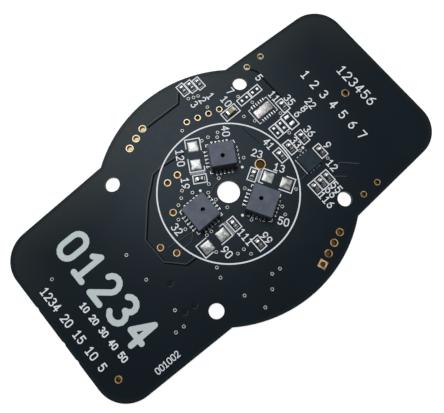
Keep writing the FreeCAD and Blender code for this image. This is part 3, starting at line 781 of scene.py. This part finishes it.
def box_path(x0, x1, y0, y1):
    """The four corners of an upright box."""
    return [(x0, y0), (x1, y0), (x1, y1), (x0, y1)]


white_ink = finishes["silkscreen_ink"]
RING_RADIUS, RING_LINE = 11.86, 0.23
round_the_middle = np.linspace(0, 2 * np.pi, 160, endpoint=False)
optics_ring = RING_RADIUS * np.column_stack([np.cos(round_the_middle), np.sin(round_the_middle)])
add_piece("printed_ring", [ink(optics_ring, RING_LINE, True)], white_ink)

# Each box: its left, right, lower and upper line
chip_boxes = [
    (7.7, 10.7, 9.45, 11.15), (11.4, 13.75, 9.95, 11.25), (13.95, 16.1, 9.95, 11.25),
    (16.25, 17.6, 4.3, 6.6), (12.3, 13.6, 1.6, 3.9), (13.8, 15.05, 1.6, 3.9),
    (15.2, 16.9, 1.2, 4.15), (10.0, 11.4, -2.1, 0.3), (12.2, 13.55, -2.1, 0.3),
    (15.0, 16.35, -2.1, 0.3), (15.7, 17.05, -5.85, -3.5), (10.8, 12.1, -9.95, -7.65),
    (12.2, 13.5, -9.95, -7.65), (13.6, 14.9, -9.95, -7.65), (-2.5, -1.1, -10.8, -8.5),
    (4.95, 6.25, 17.6, 19.85), (6.4, 7.65, 17.2, 19.45), (7.8, 9.05, 16.8, 19.0),
]
boxes = [ink(box_path(*box), closed=True) for box in chip_boxes]
boxes += [
    ink([(12.15, 8.5), (11.75, 8.5), (11.75, 5.5), (12.1, 5.5)], 0.11),
    ink([(15.4, 8.5), (15.75, 8.5), (15.75, 5.5), (15.45, 5.5)], 0.11),
    ink([(12.05, -3.2), (12.05, -6.2)], 0.13),
]

# %% [markdown]
# ## One cell's print, turned three times
#
# The three sensors sit round the middle hole at 120 degrees, and so does most of their print.
# It is laid out once, for the cell on the left, and turned. On the real board each cell's
# parts sit a few tenths of a millimetre from that pattern, so each cell has small shifts.
# Corner brackets stand round the pads and the package, and two thin hatch lines fill the gap
# between the pads' bracket and the resistor's box.

# %% The sensor cells' print
CELL_TURNS = {"left": 0.0, "upper": -120.0, "lower": 120.0}
BRACKET_LINE, HATCH_LINE = 0.14, 0.05
PAD_SHIFTS = {"left": (0.0, 0.0), "upper": (-0.08, 0.2), "lower": (0.06, 0.23)}
RESISTOR_SHIFTS = {"left": (0.0, 0.0), "upper": (-0.1, 0.36), "lower": (0.0, 0.58)}
PACKAGE_SHIFTS = {"left": (0.0, 0.0), "upper": (-0.2, -0.14), "lower": (0.06, -0.16)}


def cell_ink(side, path, shifts, width=BOX_LINE, closed=False):
    """Print of one cell: moved as that cell's piece is, then turned about the middle."""
    moved = np.asarray(path, dtype=float) + shifts[side]
    return ink(turn_about_middle(moved, CELL_TURNS[side]), width, closed)


for side in CELL_TURNS:
    boxes += [
        cell_ink(side, [(-7.8, -3.45), (-9.9, -3.45), (-9.9, -5.95), (-8.4, -5.95)], PAD_SHIFTS),
        cell_ink(side, [(-4.9, -3.45), (-4.2, -3.45), (-4.2, -5.95), (-6.5, -5.95)], PAD_SHIFTS),
        cell_ink(side, box_path(-3.55, -2.15, -5.8, -3.55), RESISTOR_SHIFTS, closed=True),
        cell_ink(side, [(-7.95, 2.65), (-8.35, 2.55), (-8.35, 2.1)], PACKAGE_SHIFTS, BRACKET_LINE),
        cell_ink(side, [(-8.35, -1.75), (-8.35, -2.25), (-8.0, -2.25)], PACKAGE_SHIFTS, BRACKET_LINE),
        cell_ink(side, [(-3.65, -2.25), (-3.3, -2.25), (-3.3, -1.9)], PACKAGE_SHIFTS, BRACKET_LINE),
    ]
    hatch_end = -5.5 if side == "lower" else -6.0
    for across in (-4.0, -3.82):
        boxes.append(cell_ink(side, [(across, -3.45), (across, hatch_end)], PAD_SHIFTS, HATCH_LINE))
add_piece("printed_boxes", boxes, white_ink)

DOT_RADIUS = 0.23
dot_places = [(14.5, -2.35)]
dot_places += [
    turn_about_middle(np.array([-3.5, 3.13]) + PACKAGE_SHIFTS[side], turn)
    for side, turn in CELL_TURNS.items()
]
add_piece(
    "pin_one_dots", [pen_dot(place, DOT_RADIUS, INK_HIGH) for place in dot_places],
    white_ink, weld=True,
)

# %% [markdown]
# ## Plain numbers
#
# This part carries plain numbers. A stroke font suits a circuit board: each digit is one or
# two paths drawn with a round pen. The arcs come from sine and cosine, and each stroke becomes
# a strip like the boxes above.

# %% Ten digits drawn with a pen, in a cell 0.6 wide and 1 high
def arc(centre, radii, start, stop, count=9):
    """Points along part of an ellipse, from one angle to another in degrees."""
    angle = np.radians(np.linspace(start, stop, count))
    return np.column_stack([
        centre[0] + radii[0] * np.cos(angle), centre[1] + radii[1] * np.sin(angle),
    ])


def stroke(*parts):
    """Points and arcs joined end to end into one path of the pen."""
    return np.vstack(parts)


six = stroke(
    [(0.47, 1.0)], arc((0.47, 0.32), (0.45, 0.55), 115, 180, 5),
    arc((0.3, 0.3), (0.28, 0.3), 180, 520, 14),
)
DIGITS = {
    "0": [stroke(
        arc((0.3, 0.72), (0.28, 0.28), 0, 180), arc((0.3, 0.28), (0.28, 0.28), 180, 360),
        [(0.58, 0.72)],
    )],
    "1": [stroke([(0.08, 0.8), (0.3, 1.0), (0.3, 0.0)]), stroke([(0.08, 0.0), (0.52, 0.0)])],
    "2": [stroke(arc((0.3, 0.72), (0.27, 0.28), 165, -35), [(0.03, 0.0), (0.57, 0.0)])],
    "3": [stroke(
        arc((0.28, 0.76), (0.26, 0.24), 150, -75), arc((0.28, 0.27), (0.3, 0.27), 75, -150),
    )],
    "4": [stroke([(0.42, 0.0), (0.42, 1.0), (0.02, 0.3), (0.6, 0.3)])],
    "5": [stroke(
        [(0.54, 1.0), (0.1, 1.0), (0.06, 0.56)], arc((0.29, 0.32), (0.29, 0.32), 110, -150, 12),
    )],
    "6": [six],
    "7": [stroke([(0.02, 1.0), (0.58, 1.0), (0.2, 0.0)])],
    "8": [arc((0.3, 0.76), (0.23, 0.24), 0, 360, 14), arc((0.3, 0.26), (0.29, 0.26), 0, 360, 14)],
    "9": [np.array([0.6, 1.0]) - six],
}
print("digits:", " ".join(DIGITS))


def split_at_corners(path, sharpest=50.0):
    """Cuts a path where it turns by more than so many degrees, as a pen lifts there."""
    steps = np.diff(path, axis=0)
    heading = np.degrees(np.arctan2(steps[:, 1], steps[:, 0]))
    bends = np.abs((np.diff(heading) + 180) % 360 - 180)
    cuts = [0, *(np.flatnonzero(bends > sharpest) + 1), len(path) - 1]
    return [path[first:last + 1] for first, last in zip(cuts, cuts[1:])]


DIGIT_WIDTH, LAYER_STEP = 0.6, 0.002


def number(text, middle, height, pen, reading=-90.0, spacing=0.85, rounded=False):
    """Strips for a number centred on a place, with its reading direction in degrees.

    Strokes of a digit overlap at its corners. Each lies a hair higher than the one before,
    because two faces at exactly the same height would flicker. A rounded number ends each
    strip with a spot of ink as wide as the pen.
    """
    advance = spacing * height
    start = -(len(text) - 1) * advance / 2 - DIGIT_WIDTH * height / 2
    strips = []
    for position, digit in enumerate(text):
        if digit == " ":
            continue
        corner = np.array([start + position * advance, -height / 2])
        pieces = [piece for path in DIGITS[digit] for piece in split_at_corners(path)]
        for layer, piece in enumerate(pieces):
            flat = turn_about_middle(piece * height + corner, reading) + np.asarray(middle)
            loop = bool(np.allclose(flat[0], flat[-1]))
            flat = flat[:-1] if loop else flat
            high = INK_HIGH + LAYER_STEP * layer
            strips.append(band(flat, pen, INK_LOW, high, loop, not rounded))
            if rounded and not loop:
                strips += [pen_dot(end, pen / 2, high + LAYER_STEP / 2) for end in flat[[0, -1]]]
    return strips


# %% Labels beside the parts, and rows of numbers on the wings
LABEL_HEIGHT, LABEL_PEN = 1.2, 0.175
label_places = {
    "3": (5.4, 15.4), "2": (7.0, 15.1), "1": (8.5, 14.8), "10": (9.95, 12.3),
    "7": (11.7, 13.3), "5": (17.2, 12.0), "11": (16.9, 7.7), "35": (18.5, 5.5),
    "6": (17.9, 2.7), "8": (19.4, 2.7), "22": (20.9, 2.7), "36": (17.3, -0.9),
    "33": (14.2, -0.9), "41": (10.5, 1.9), "9": (18.0, -4.7), "12": (16.2, -7.8),
    "55": (14.2, -11.0), "66": (12.9, -11.0), "116": (11.4, -11.5), "99": (-0.3, -9.8),
    "111": (-2.8, -7.5), "90": (-6.7, -7.4), "32": (-10.5, 0.65),
}
leaning_places = {
    "23": ((7.9, 1.9), -57), "13": ((9.1, -2.4), -57), "50": ((3.6, -9.6), -57),
    "19": ((-4.6, 5.7), -122), "120": ((-2.5, 9.6), -122), "40": ((6.4, 8.3), -122),
}
labels = []
for digits, middle in label_places.items():
    labels += number(digits, middle, LABEL_HEIGHT, LABEL_PEN)
for digits, (middle, reading) in leaning_places.items():
    labels += number(digits, middle, LABEL_HEIGHT, LABEL_PEN, reading)
add_piece("printed_labels", labels, white_ink)

# Each row: its digits, middle, height, pen, reading direction and spacing
number_rows = (
    ("1234", (-32.6, 4.9), 1.25, 0.19, -90.0, 0.85),
    ("20 15 10 5", (-32.6, -3.6), 1.25, 0.19, -90.0, 0.85),
    ("10 20 30 40 50", (-29.3, -4.4), 0.95, 0.2, -90.0, 0.85),
    ("001002", (-24.6, -14.3), 0.95, 0.14, 0.0, 0.8),
    ("1 2 3 4 5 6 7", (23.8, 0.0), 1.5, 0.2, -90.0, 0.8),
    ("123456", (29.3, 0.0), 1.65, 0.2, -90.0, 0.9),
)
rows = [strip for row in number_rows for strip in number(*row)]
add_piece("printed_rows", rows, white_ink)

bold = number("01234", (-24.95, 0.6), 4.7, 0.95, spacing=0.93, rounded=True)
add_piece("printed_bold_row", bold, finishes["bold_ink"], weld=True)

# %% [markdown]
# ## Plated rings and small vias
#
# A plated hole is a spool: a ring of copper on each face, joined by a thin lining. The header
# holes are solids already. The jumper and test holes are drilled in the board, so here each
# gets its lining and its two rings, as one profile turned about the hole's axis. The small
# vias carry a signal through the board and are filled, so they are a ring round a dark dip.
# Three larger vias lie under the mask: a shallow dip with a pale crescent on its lower side, a
# painted highlight where its wall faces the lamp.

# %% Rings and linings of the drilled holes
RING_RISE, UNDERSIDE_RISE, LINING, ROUNDED_RIM = 0.04, 0.015, 0.035, 0.02
SUNK, INTO_WALL = 0.01, 0.004


def spool(centre, ring, hole):
    """The lining and both rings of one plated hole, as a closed profile turned round."""
    top, bore, wall = BOARD_TOP + RING_RISE, hole - LINING, hole + INTO_WALL
    profile = [
        (bore, -UNDERSIDE_RISE), (ring, -UNDERSIDE_RISE), (ring, SUNK),
        (wall, SUNK), (wall, BOARD_TOP - SUNK), (ring, BOARD_TOP - SUNK),
        (ring, top - ROUNDED_RIM), (ring - ROUNDED_RIM, top),
        (bore + ROUNDED_RIM, top), (bore, top - ROUNDED_RIM),
    ]
    return turned(profile, centre, 32)


spools = [spool(centre, ring, hole) for centre, (ring, hole, flat) in drilled_holes.items()]
add_piece("test_hole_plating", spools, gold_plating)

# %% Small vias
# Places read off the photograph
via_places = np.array([
    (0.8, 13.1), (5.3, 16.9), (6.1, 16.5), (6.9, 16.2), (6.8, 13.6), (2.2, 9.6), (3.4, 9.4),
    (5.2, 9.0), (4.6, 8.4), (10.5, 8.3), (13.3, 9.3), (12.1, 11.7), (11.4, 6.5), (15.7, 4.7),
    (14.5, 1.1), (13.8, -2.4), (16.5, -6.4), (-5.8, 5.1), (-6.7, 4.2), (-7.8, 3.6),
    (-4.7, 3.75), (-9.3, 1.75), (-9.45, -0.2), (-2.7, 2.05), (-2.5, 0.35), (-1.7, 3.1),
    (-1.9, -1.85), (0.2, 2.8), (5.7, 2.8), (2.4, -1.3), (-0.2, -6.0), (-7.4, -3.2),
    (-6.45, -3.2), (-8.0, -6.25), (5.1, -7.6), (4.6, -8.9), (8.8, -6.9), (-9.5, -8.2),
    (-10.1, -9.8), (-5.5, -8.7), (-4.3, -8.8), (-3.9, -10.1), (-30.6, 7.3), (-19.3, 2.7),
    (-19.3, -2.4), (-18.8, -9.0), (-20.8, -11.7), (-19.3, -11.8), (-9.0, -14.4),
    (-3.4, -14.7), (-1.9, -14.9), (-5.0, -16.5), (-7.7, -17.9),
])
VIA_RING, VIA_DIP = 0.29, 0.175
VIA_FOOT, VIA_TOP = BOARD_TOP - 0.02, BOARD_TOP + 0.03
DIP_FOOT, DIP_EDGE, DIP_MIDDLE = BOARD_TOP - 0.03, BOARD_TOP + 0.004, BOARD_TOP + 0.002
via_profile = [
    (VIA_DIP, BOARD_TOP + 0.008), (VIA_DIP, VIA_FOOT), (VIA_RING, VIA_FOOT),
    (VIA_RING, BOARD_TOP + 0.012), (VIA_RING - 0.03, VIA_TOP), (VIA_DIP + 0.04, VIA_TOP),
]
dip_profile = [
    (0.0, DIP_FOOT), (VIA_DIP + 0.02, DIP_FOOT), (VIA_DIP + 0.02, DIP_EDGE), (0.0, DIP_MIDDLE),
]
via_rings = [turned(via_profile, place, 18) for place in via_places]
add_piece("via_rings", via_rings, finishes["via_plating"])
# The dips get a near-black painted shade
via_dips = [turned(dip_profile, place, 12) for place in via_places]
add_piece("via_dips", via_dips, finishes["via_shade"], weld=True)

# %% Covered vias
TENT_RADIUS = 0.52
tented = [(-16.8, -5.3), (-17.8, -10.2), (-16.0, -10.4)]
tent_profile = [
    (0.10, BOARD_TOP - 0.02), (TENT_RADIUS + 0.02, BOARD_TOP - 0.02),
    (TENT_RADIUS, BOARD_TOP + 0.006), (0.12, BOARD_TOP + 0.006),
]
tented_dips = [turned(tent_profile, place, 28) for place in tented]
add_piece("tented_dips", tented_dips, mask_in_dip)
# Painted highlight: the pale crescent on the dip's lower wall, which faces the lamp
crescent = arc((0.0, 0.0), (TENT_RADIUS, TENT_RADIUS), -150, -20, 12)
tented_highlights = [
    band(crescent + place, 0.10, BOARD_TOP - SUNK, BOARD_TOP + 0.012) for place in tented
]
add_piece("tented_highlights", tented_highlights, mask_painted_highlight)

# %% [markdown]
# ## Copper under the mask
#
# Copper is a few hundredths of a millimetre thick, so the mask steps down where a pour or a
# track ends. The step is too low to see face on, but its slope catches the light as a thin
# pale line, with a shadow beside it. Two strips, side by side, paint just that: a painted
# highlight, paler than the mask, and a painted shadow, darker.

# %% Painted highlights and shadows where the copper ends
TRACK_RISE = 0.012
# The direction in which the painted shadow lies beside the painted highlight
SHADOW_WAY = np.array([0.2, -0.98])
# Each edge: its path, the painted highlight's width and the painted shadow's width
steps_in_copper = {
    "debug_pour": ([(4.5, 18.9), (3.3, 17.5), (-3.2, 17.6)], 0.19, 0.40),
    "optics_pour": ([
        (-1.7, 10.1), (-5.8, 10.6), (-7.8, 10.4), (-11.3, 7.4), (-15.5, 2.6), (-15.4, -2.0),
        (-12.9, -4.6), (-11.0, -4.7),
    ], 0.16, 0.36),
    "probe_track": (
        [(-13.3, -0.7), (-9.4, -1.2), (-8.8, -1.3), (-9.9, -2.4), (-12.1, -2.4)], 0.14, 0.12,
    ),
    "return_track": ([(-2.3, 1.8), (-1.3, 2.3), (0.1, 2.4)], 0.16, 0.12),
    "memory_track": ([(16.2, -8.4), (17.6, -8.3), (19.9, -10.5)], 0.14, 0.10),
    "clock_track": ([(15.2, -9.4), (16.7, -10.7)], 0.12, 0.10),
    "lamp_track": ([(10.1, -6.3), (11.8, -6.1)], 0.12, 0.10),
}


def mask_line(path, width, rise):
    """A strip of mask that stands up by the rise."""
    return band(path, width, BOARD_TOP - SUNK, BOARD_TOP + rise)


pale = [mask_line(path, width, TRACK_RISE) for path, width, gap in steps_in_copper.values()]
dark = [
    mask_line(path + SHADOW_WAY * (width + gap) / 2, gap, TRACK_RISE / 2)
    for path, width, gap in steps_in_copper.values()
]
# Two more edges get a painted shadow alone
dark.append(mask_line([(17.0, 14.2), (17.65, 13.1), (17.7, 6.9)], 0.30, TRACK_RISE / 2))
dark.append(mask_line([(8.9, 7.0), (9.4, 3.1)], 0.10, TRACK_RISE / 2))
add_piece("copper_edge_highlights", pale, mask_painted_highlight)
add_piece("copper_edge_shadows", dark, mask_painted_shadow)

# %% [markdown]
# ## Solder
#
# Solder wets a pad and climbs the metal beside it, so a soldered end is a small slope, and a
# tinned bare pad is a low dome. Both are heights over a grid of two numbers u and v from -1
# to 1. The dome is highest in the middle and steep at its rim. The slope rises towards the
# chip. Each is closed by a flat underside.

# %% A closed lump of solder from a height over a grid
def lump(centre, half_length, half_width, turn, height_at, base, samples):
    """Points (u, v) over a rounded rectangle, raised by height_at(u, v) above the base.

    The plan is a rectangle whose corners are pulled in: x = a u sqrt(1 - 0.05 v^6) and the
    same for y, so that the pad's outline stays square with soft corners. The underside
    repeats the plan at the base, and a skirt of faces joins the two rims.
    """
    rows, columns = samples
    u, v = np.meshgrid(np.linspace(-1, 1, rows), np.linspace(-1, 1, columns), indexing="ij")
    plan_x = half_length * u * np.sqrt(1 - 0.05 * v ** 6)
    plan_y = half_width * v * np.sqrt(1 - 0.05 * u ** 6)
    flat = turn_about_middle(np.column_stack([plan_x.ravel(), plan_y.ravel()]), turn)
    flat = flat + np.asarray(centre)
    upper = np.column_stack([flat, base + height_at(u, v).ravel()])
    lower = np.column_stack([flat, np.full(len(flat), base - SUNK)])
    i, j = np.meshgrid(np.arange(rows - 1), np.arange(columns - 1), indexing="ij")
    quad = np.stack([
        i * columns + j, (i + 1) * columns + j, (i + 1) * columns + j + 1, i * columns + j + 1,
    ], axis=-1).reshape(-1, 4)
    count = rows * columns
    rim = np.concatenate([
        np.arange(rows) * columns,
        (rows - 1) * columns + np.arange(1, columns),
        np.arange(rows - 2, -1, -1) * columns + columns - 1,
        np.arange(columns - 2, 0, -1),
    ])
    following = np.roll(rim, -1)
    skirt = np.stack([rim, rim + count, following + count, following], axis=-1)
    faces = np.vstack([quad, quad[:, ::-1] + count, skirt])
    return np.vstack([upper, lower]), faces


def pillow(height, dents):
    """Height of a tinned pad: steep at its rim, then a low dome with a few soft dents.

    The rim is sqrt((1 - u^8)(1 - v^8)), the dome is 0.45 + 0.55 (1 - u^2)(1 - v^2), and a
    product of a sine and a cosine dents it by a tenth. So the side that faces the lamp is
    bright and the far side turns grey.
    """
    def height_at(u, v):
        rim = np.sqrt(np.clip(1 - u ** 8, 0, 1) * np.clip(1 - v ** 8, 0, 1))
        dome = 0.45 + 0.55 * (1 - u ** 2) * (1 - v ** 2)
        ripple = np.sin(2.3 * u + dents) * np.cos(1.9 * v - 1.7 * dents)
        return height * rim * dome * (1 + 0.10 * ripple)
    return height_at


def slope(low, high):
    """Height of a soldered end: it climbs along u as a hollow curve and is crowned across v.

    The climb goes with ((u + 1) / 2)^1.6, the crown is sqrt(1 - 0.85 v^4), and the foot drops
    to a quarter over the first sixth.
    """
    def height_at(u, v):
        climb = low + (high - low) * ((u + 1) / 2) ** 1.6
        return climb * np.sqrt(np.clip(1 - 0.85 * v ** 4, 0, 1)) * np.clip((u + 1) * 6, 0.25, 1)
    return height_at


# %% Solder on the bare pads
TIN_SPREAD, LARGE_PAD = 0.05, 0.5
# Each bare pad node: the tin's height and its finish
bare_pads = {
    "left_lamp_pads": (0.13, "reflowed_tin"), "upper_lamp_pads": (0.13, "reflowed_tin"),
    "lower_lamp_pads": (0.13, "reflowed_tin"), "spare_driver_pad": (0.13, "pad_tin"),
    "spare_driver_lands": (0.07, "land_tin"), "spare_upper_pads": (0.09, "bright_tin"),
    "spare_middle_pads": (0.09, "bright_tin"), "spare_wide_pads": (0.10, "bright_tin"),
}
for node, (height, tin) in bare_pads.items():
    lumps = []
    for place_in_node, (centre, half, turn) in enumerate(solids_of(node)):
        large = half.min() > LARGE_PAD
        half = half + (TIN_SPREAD if large else 0.0)
        dome = pillow(height, 0.9 * place_in_node + len(node))
        grid = (17, 17) if large else (7, 7)
        lumps.append(lump(centre, half[0], half[1], turn, dome, BOARD_TOP, grid))
    piece = add_piece(node + "_tinned", lumps, finishes[tin], smooth=True)
    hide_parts(node)

# %% Solder at the ends of the chips
END_OFFSET, END_HALF, END_SPILL, END_CLIMB = 0.11, 0.15, 0.04, 0.75
LAND_RISE = 0.03
lit_ends, shaded_ends = [], []
for node in chips:
    centre, along, half = long_axis(node)
    corners = flat_points(node)
    half_width = np.ptp(corners[:, :2] @ np.array([-along[1], along[0]])) / 2 + END_SPILL
    climb = slope(0.05, np.ptp(corners[:, 2]) * END_CLIMB)
    heading = np.degrees(np.arctan2(along[1], along[0]))
    for end in (1, -1):
        middle = centre + along * end * (half + END_OFFSET)
        turn = heading + (180 if end == 1 else 0)
        # Painted light: the end towards the lamp gets the lit tin, the other end a painted shade
        ends = lit_ends if end == 1 and not is_dull(node) else shaded_ends
        ends.append(lump(middle, END_HALF, half_width, turn, climb, BOARD_TOP + LAND_RISE, (7, 7)))
add_piece("chip_solder", lit_ends, finishes["lit_end_tin"], smooth=True)
add_piece("shaded_chip_solder", shaded_ends, finishes["shaded_tin"], smooth=True)

# %% Solder on the lands of the sensors and the memory
HIDDEN_HALF, SHADED_LEAN = 0.175, -0.42
packages = {
    "left_sensor_lands": "left_sensor_base", "upper_sensor_lands": "upper_sensor_base",
    "lower_sensor_lands": "lower_sensor_base", "memory_chip_lands": "memory_chip",
}
fillet = slope(0.07, 0.26)
lit_joints, shaded_joints = [], []
for lands, package in packages.items():
    corners = flat_points(package)[:, :2]
    middle = (corners.min(axis=0) + corners.max(axis=0)) / 2
    for centre, half, turn in solids_of(lands):
        long_turn = np.radians(turn + 90 * int(np.argmax(half)))
        long_way = np.array([np.cos(long_turn), np.sin(long_turn)])
        outward = long_way * np.sign(long_way @ (centre - middle))
        heading = np.degrees(np.arctan2(-outward[1], -outward[0]))
        joint = lump(
            centre + outward * HIDDEN_HALF, half.max() - HIDDEN_HALF, half.min(), heading,
            fillet, BOARD_TOP + 0.02, (5, 5),
        )
        # Painted light: joints that face away from the lamp get a painted shade, the others a lit tin
        (shaded_joints if outward[1] < SHADED_LEAN else lit_joints).append(joint)
add_piece("land_solder", lit_joints, finishes["land_tin"], smooth=True)
add_piece("shaded_land_solder", shaded_joints, finishes["shaded_land_tin"], smooth=True)

# %% [markdown]
# ## The floor
#
# A studio shot on white needs a floor that is white to the camera, yet keeps the shadow that
# the board casts beside it. A plain white floor under plain light comes out grey, and more
# light would wash out the board. So the floor's paint is mixed with a glow that only the
# camera, glossy reflections and glass see. Under the board the floor's paint is black and the
# glow is a painted light instead: dim and brown, as if from light that bounced off gold and
# laminate, and brighter on the side towards the lamp. That is what shows through the small
# plated holes. From below the floor is clear, so that the board's underside can be looked at.

# %% White floor with a shadow
FLOOR_HEIGHT, FLOOR_REACH = -0.03, 600.0
DIM_BOUNCE, LIT_BOUNCE = (0.075, 0.038, 0.009), (0.78, 0.66, 0.38)
BLACK, WHITE = (0.0, 0.0, 0.0), (1.0, 1.0, 1.0)
floor_mesh = bpy.data.meshes.new("floor")
corners = np.array([(-1, -1), (1, -1), (1, 1), (-1, 1)]) * FLOOR_REACH
floor_points = np.column_stack([corners, np.full(4, FLOOR_HEIGHT)]) * MM
floor_mesh.from_pydata(floor_points.tolist(), [], [(0, 1, 2, 3)])
floor = bpy.data.objects.new("floor", floor_mesh)
bpy.context.collection.objects.link(floor)

floor_finish, floor_shader, floor_place = new_finish("floor_paint")
uncovered = edge_distance(floor_place).step(-0.25, -0.05)
uncovered = uncovered.math("MAXIMUM", in_open_hole(floor_place, 0.05))
paint = uncovered * (noise(floor_place, 0.02, 2.0) * 0.04 + 0.22)
paint = blend(paint, BLACK, WHITE)
feed(floor_shader, base_color=paint, roughness=0.9, specular_ior_level=0.0)
ray = floor_place.make("ShaderNodeLightPath", {}, {}, output=0)
glossy_ray = Wire(ray.socket.node.outputs["Is Glossy Ray"])
clear_ray = Wire(ray.socket.node.outputs["Is Transmission Ray"])
seen = (ray + glossy_ray + clear_ray).math("MINIMUM", 1.0)
# Painted light: under the board the floor glows dim brown, brighter near the upper edge, towards the
# lamp
near_light = floor_place.parts()[1].step(6.0, 15.0) * edge_distance(floor_place).step(-7.2, -5.0)
bounced = blend(near_light, DIM_BOUNCE, LIT_BOUNCE)
glow = blend(uncovered, bounced, (0.90, 0.90, 0.90))
feed(floor_shader, emission_color=blend(seen, BLACK, glow), emission_strength=1.0)
from_below = floor_place.make("ShaderNodeNewGeometry", {}, {}, output=6)
feed(floor_shader, alpha=1 - from_below)
floor_mesh.materials.append(floor_finish)

# %% [markdown]
# ## Light and camera
#
# In the photograph the light comes from the upper left of the picture, high up: shadows are
# short and fall towards the board's lower edge. One broad lamp does that, and a soft world
# fills the rest. The camera's place and lens were worked out from the board's own symmetry,
# so that a point of the model lands on the same point of the picture.

# %% Soft studio light
world = bpy.data.worlds.new("studio")
bpy.context.scene.world = world
world.use_nodes = True
background = world.node_tree.nodes["Background"]
rays = world.node_tree.nodes.new("ShaderNodeLightPath").outputs
white_rays = Wire(rays["Is Camera Ray"]) + Wire(rays["Is Glossy Ray"])
white_rays = (white_rays + Wire(rays["Is Transmission Ray"])).math("MINIMUM", 1.0)
studio_shade = blend(white_rays, (0.17, 0.18, 0.195), WHITE)
world.node_tree.links.new(studio_shade.socket, background.inputs["Color"])
background.inputs["Strength"].default_value = 1.0


def add_lamp(name, place, width, watts, shade):
    """A square lamp that looks at the board's middle."""
    lamp = bpy.data.lights.new(name, "AREA")
    lamp.size = width * MM
    lamp.energy = watts
    lamp.color = shade
    piece = bpy.data.objects.new(name, lamp)
    bpy.context.collection.objects.link(piece)
    backwards = np.array(place, dtype=float)
    backwards = backwards / np.linalg.norm(backwards)
    sideways = np.cross((1.0, 0.0, 0.0), backwards)
    sideways = sideways / np.linalg.norm(sideways)
    matrix = np.eye(4)
    matrix[:3, 0] = np.cross(sideways, backwards)
    matrix[:3, 1] = sideways
    matrix[:3, 2] = backwards
    matrix[:3, 3] = np.array(place) * MM
    piece.matrix_world = mathutils.Matrix(matrix.tolist())
    return piece


add_lamp("window_lamp", (24.0, 85.0, 210.0), 110.0, 0.425, (1.0, 0.99, 0.97))

# %% The camera that took the picture
camera_data = bpy.data.cameras.new("camera")
camera_data.sensor_width = 36.0
camera_data.lens = 29.95
camera_data.clip_start = 0.001
camera_data.clip_end = 10.0
camera = bpy.data.objects.new("camera", camera_data)
bpy.context.collection.objects.link(camera)
pose = np.eye(4)
pose[:3, 0] = (0.76209, -0.64733, 0.01355)
pose[:3, 1] = (0.63758, 0.75392, 0.15839)
pose[:3, 2] = (-0.11275, -0.11206, 0.98728)
pose[:3, 3] = np.array([-9.32, -8.00, 59.97 + BOARD_TOP]) * MM
camera.matrix_world = mathutils.Matrix(pose.tolist())
bpy.context.scene.camera = camera
bpy.context.scene.view_settings.view_transform = "Standard"
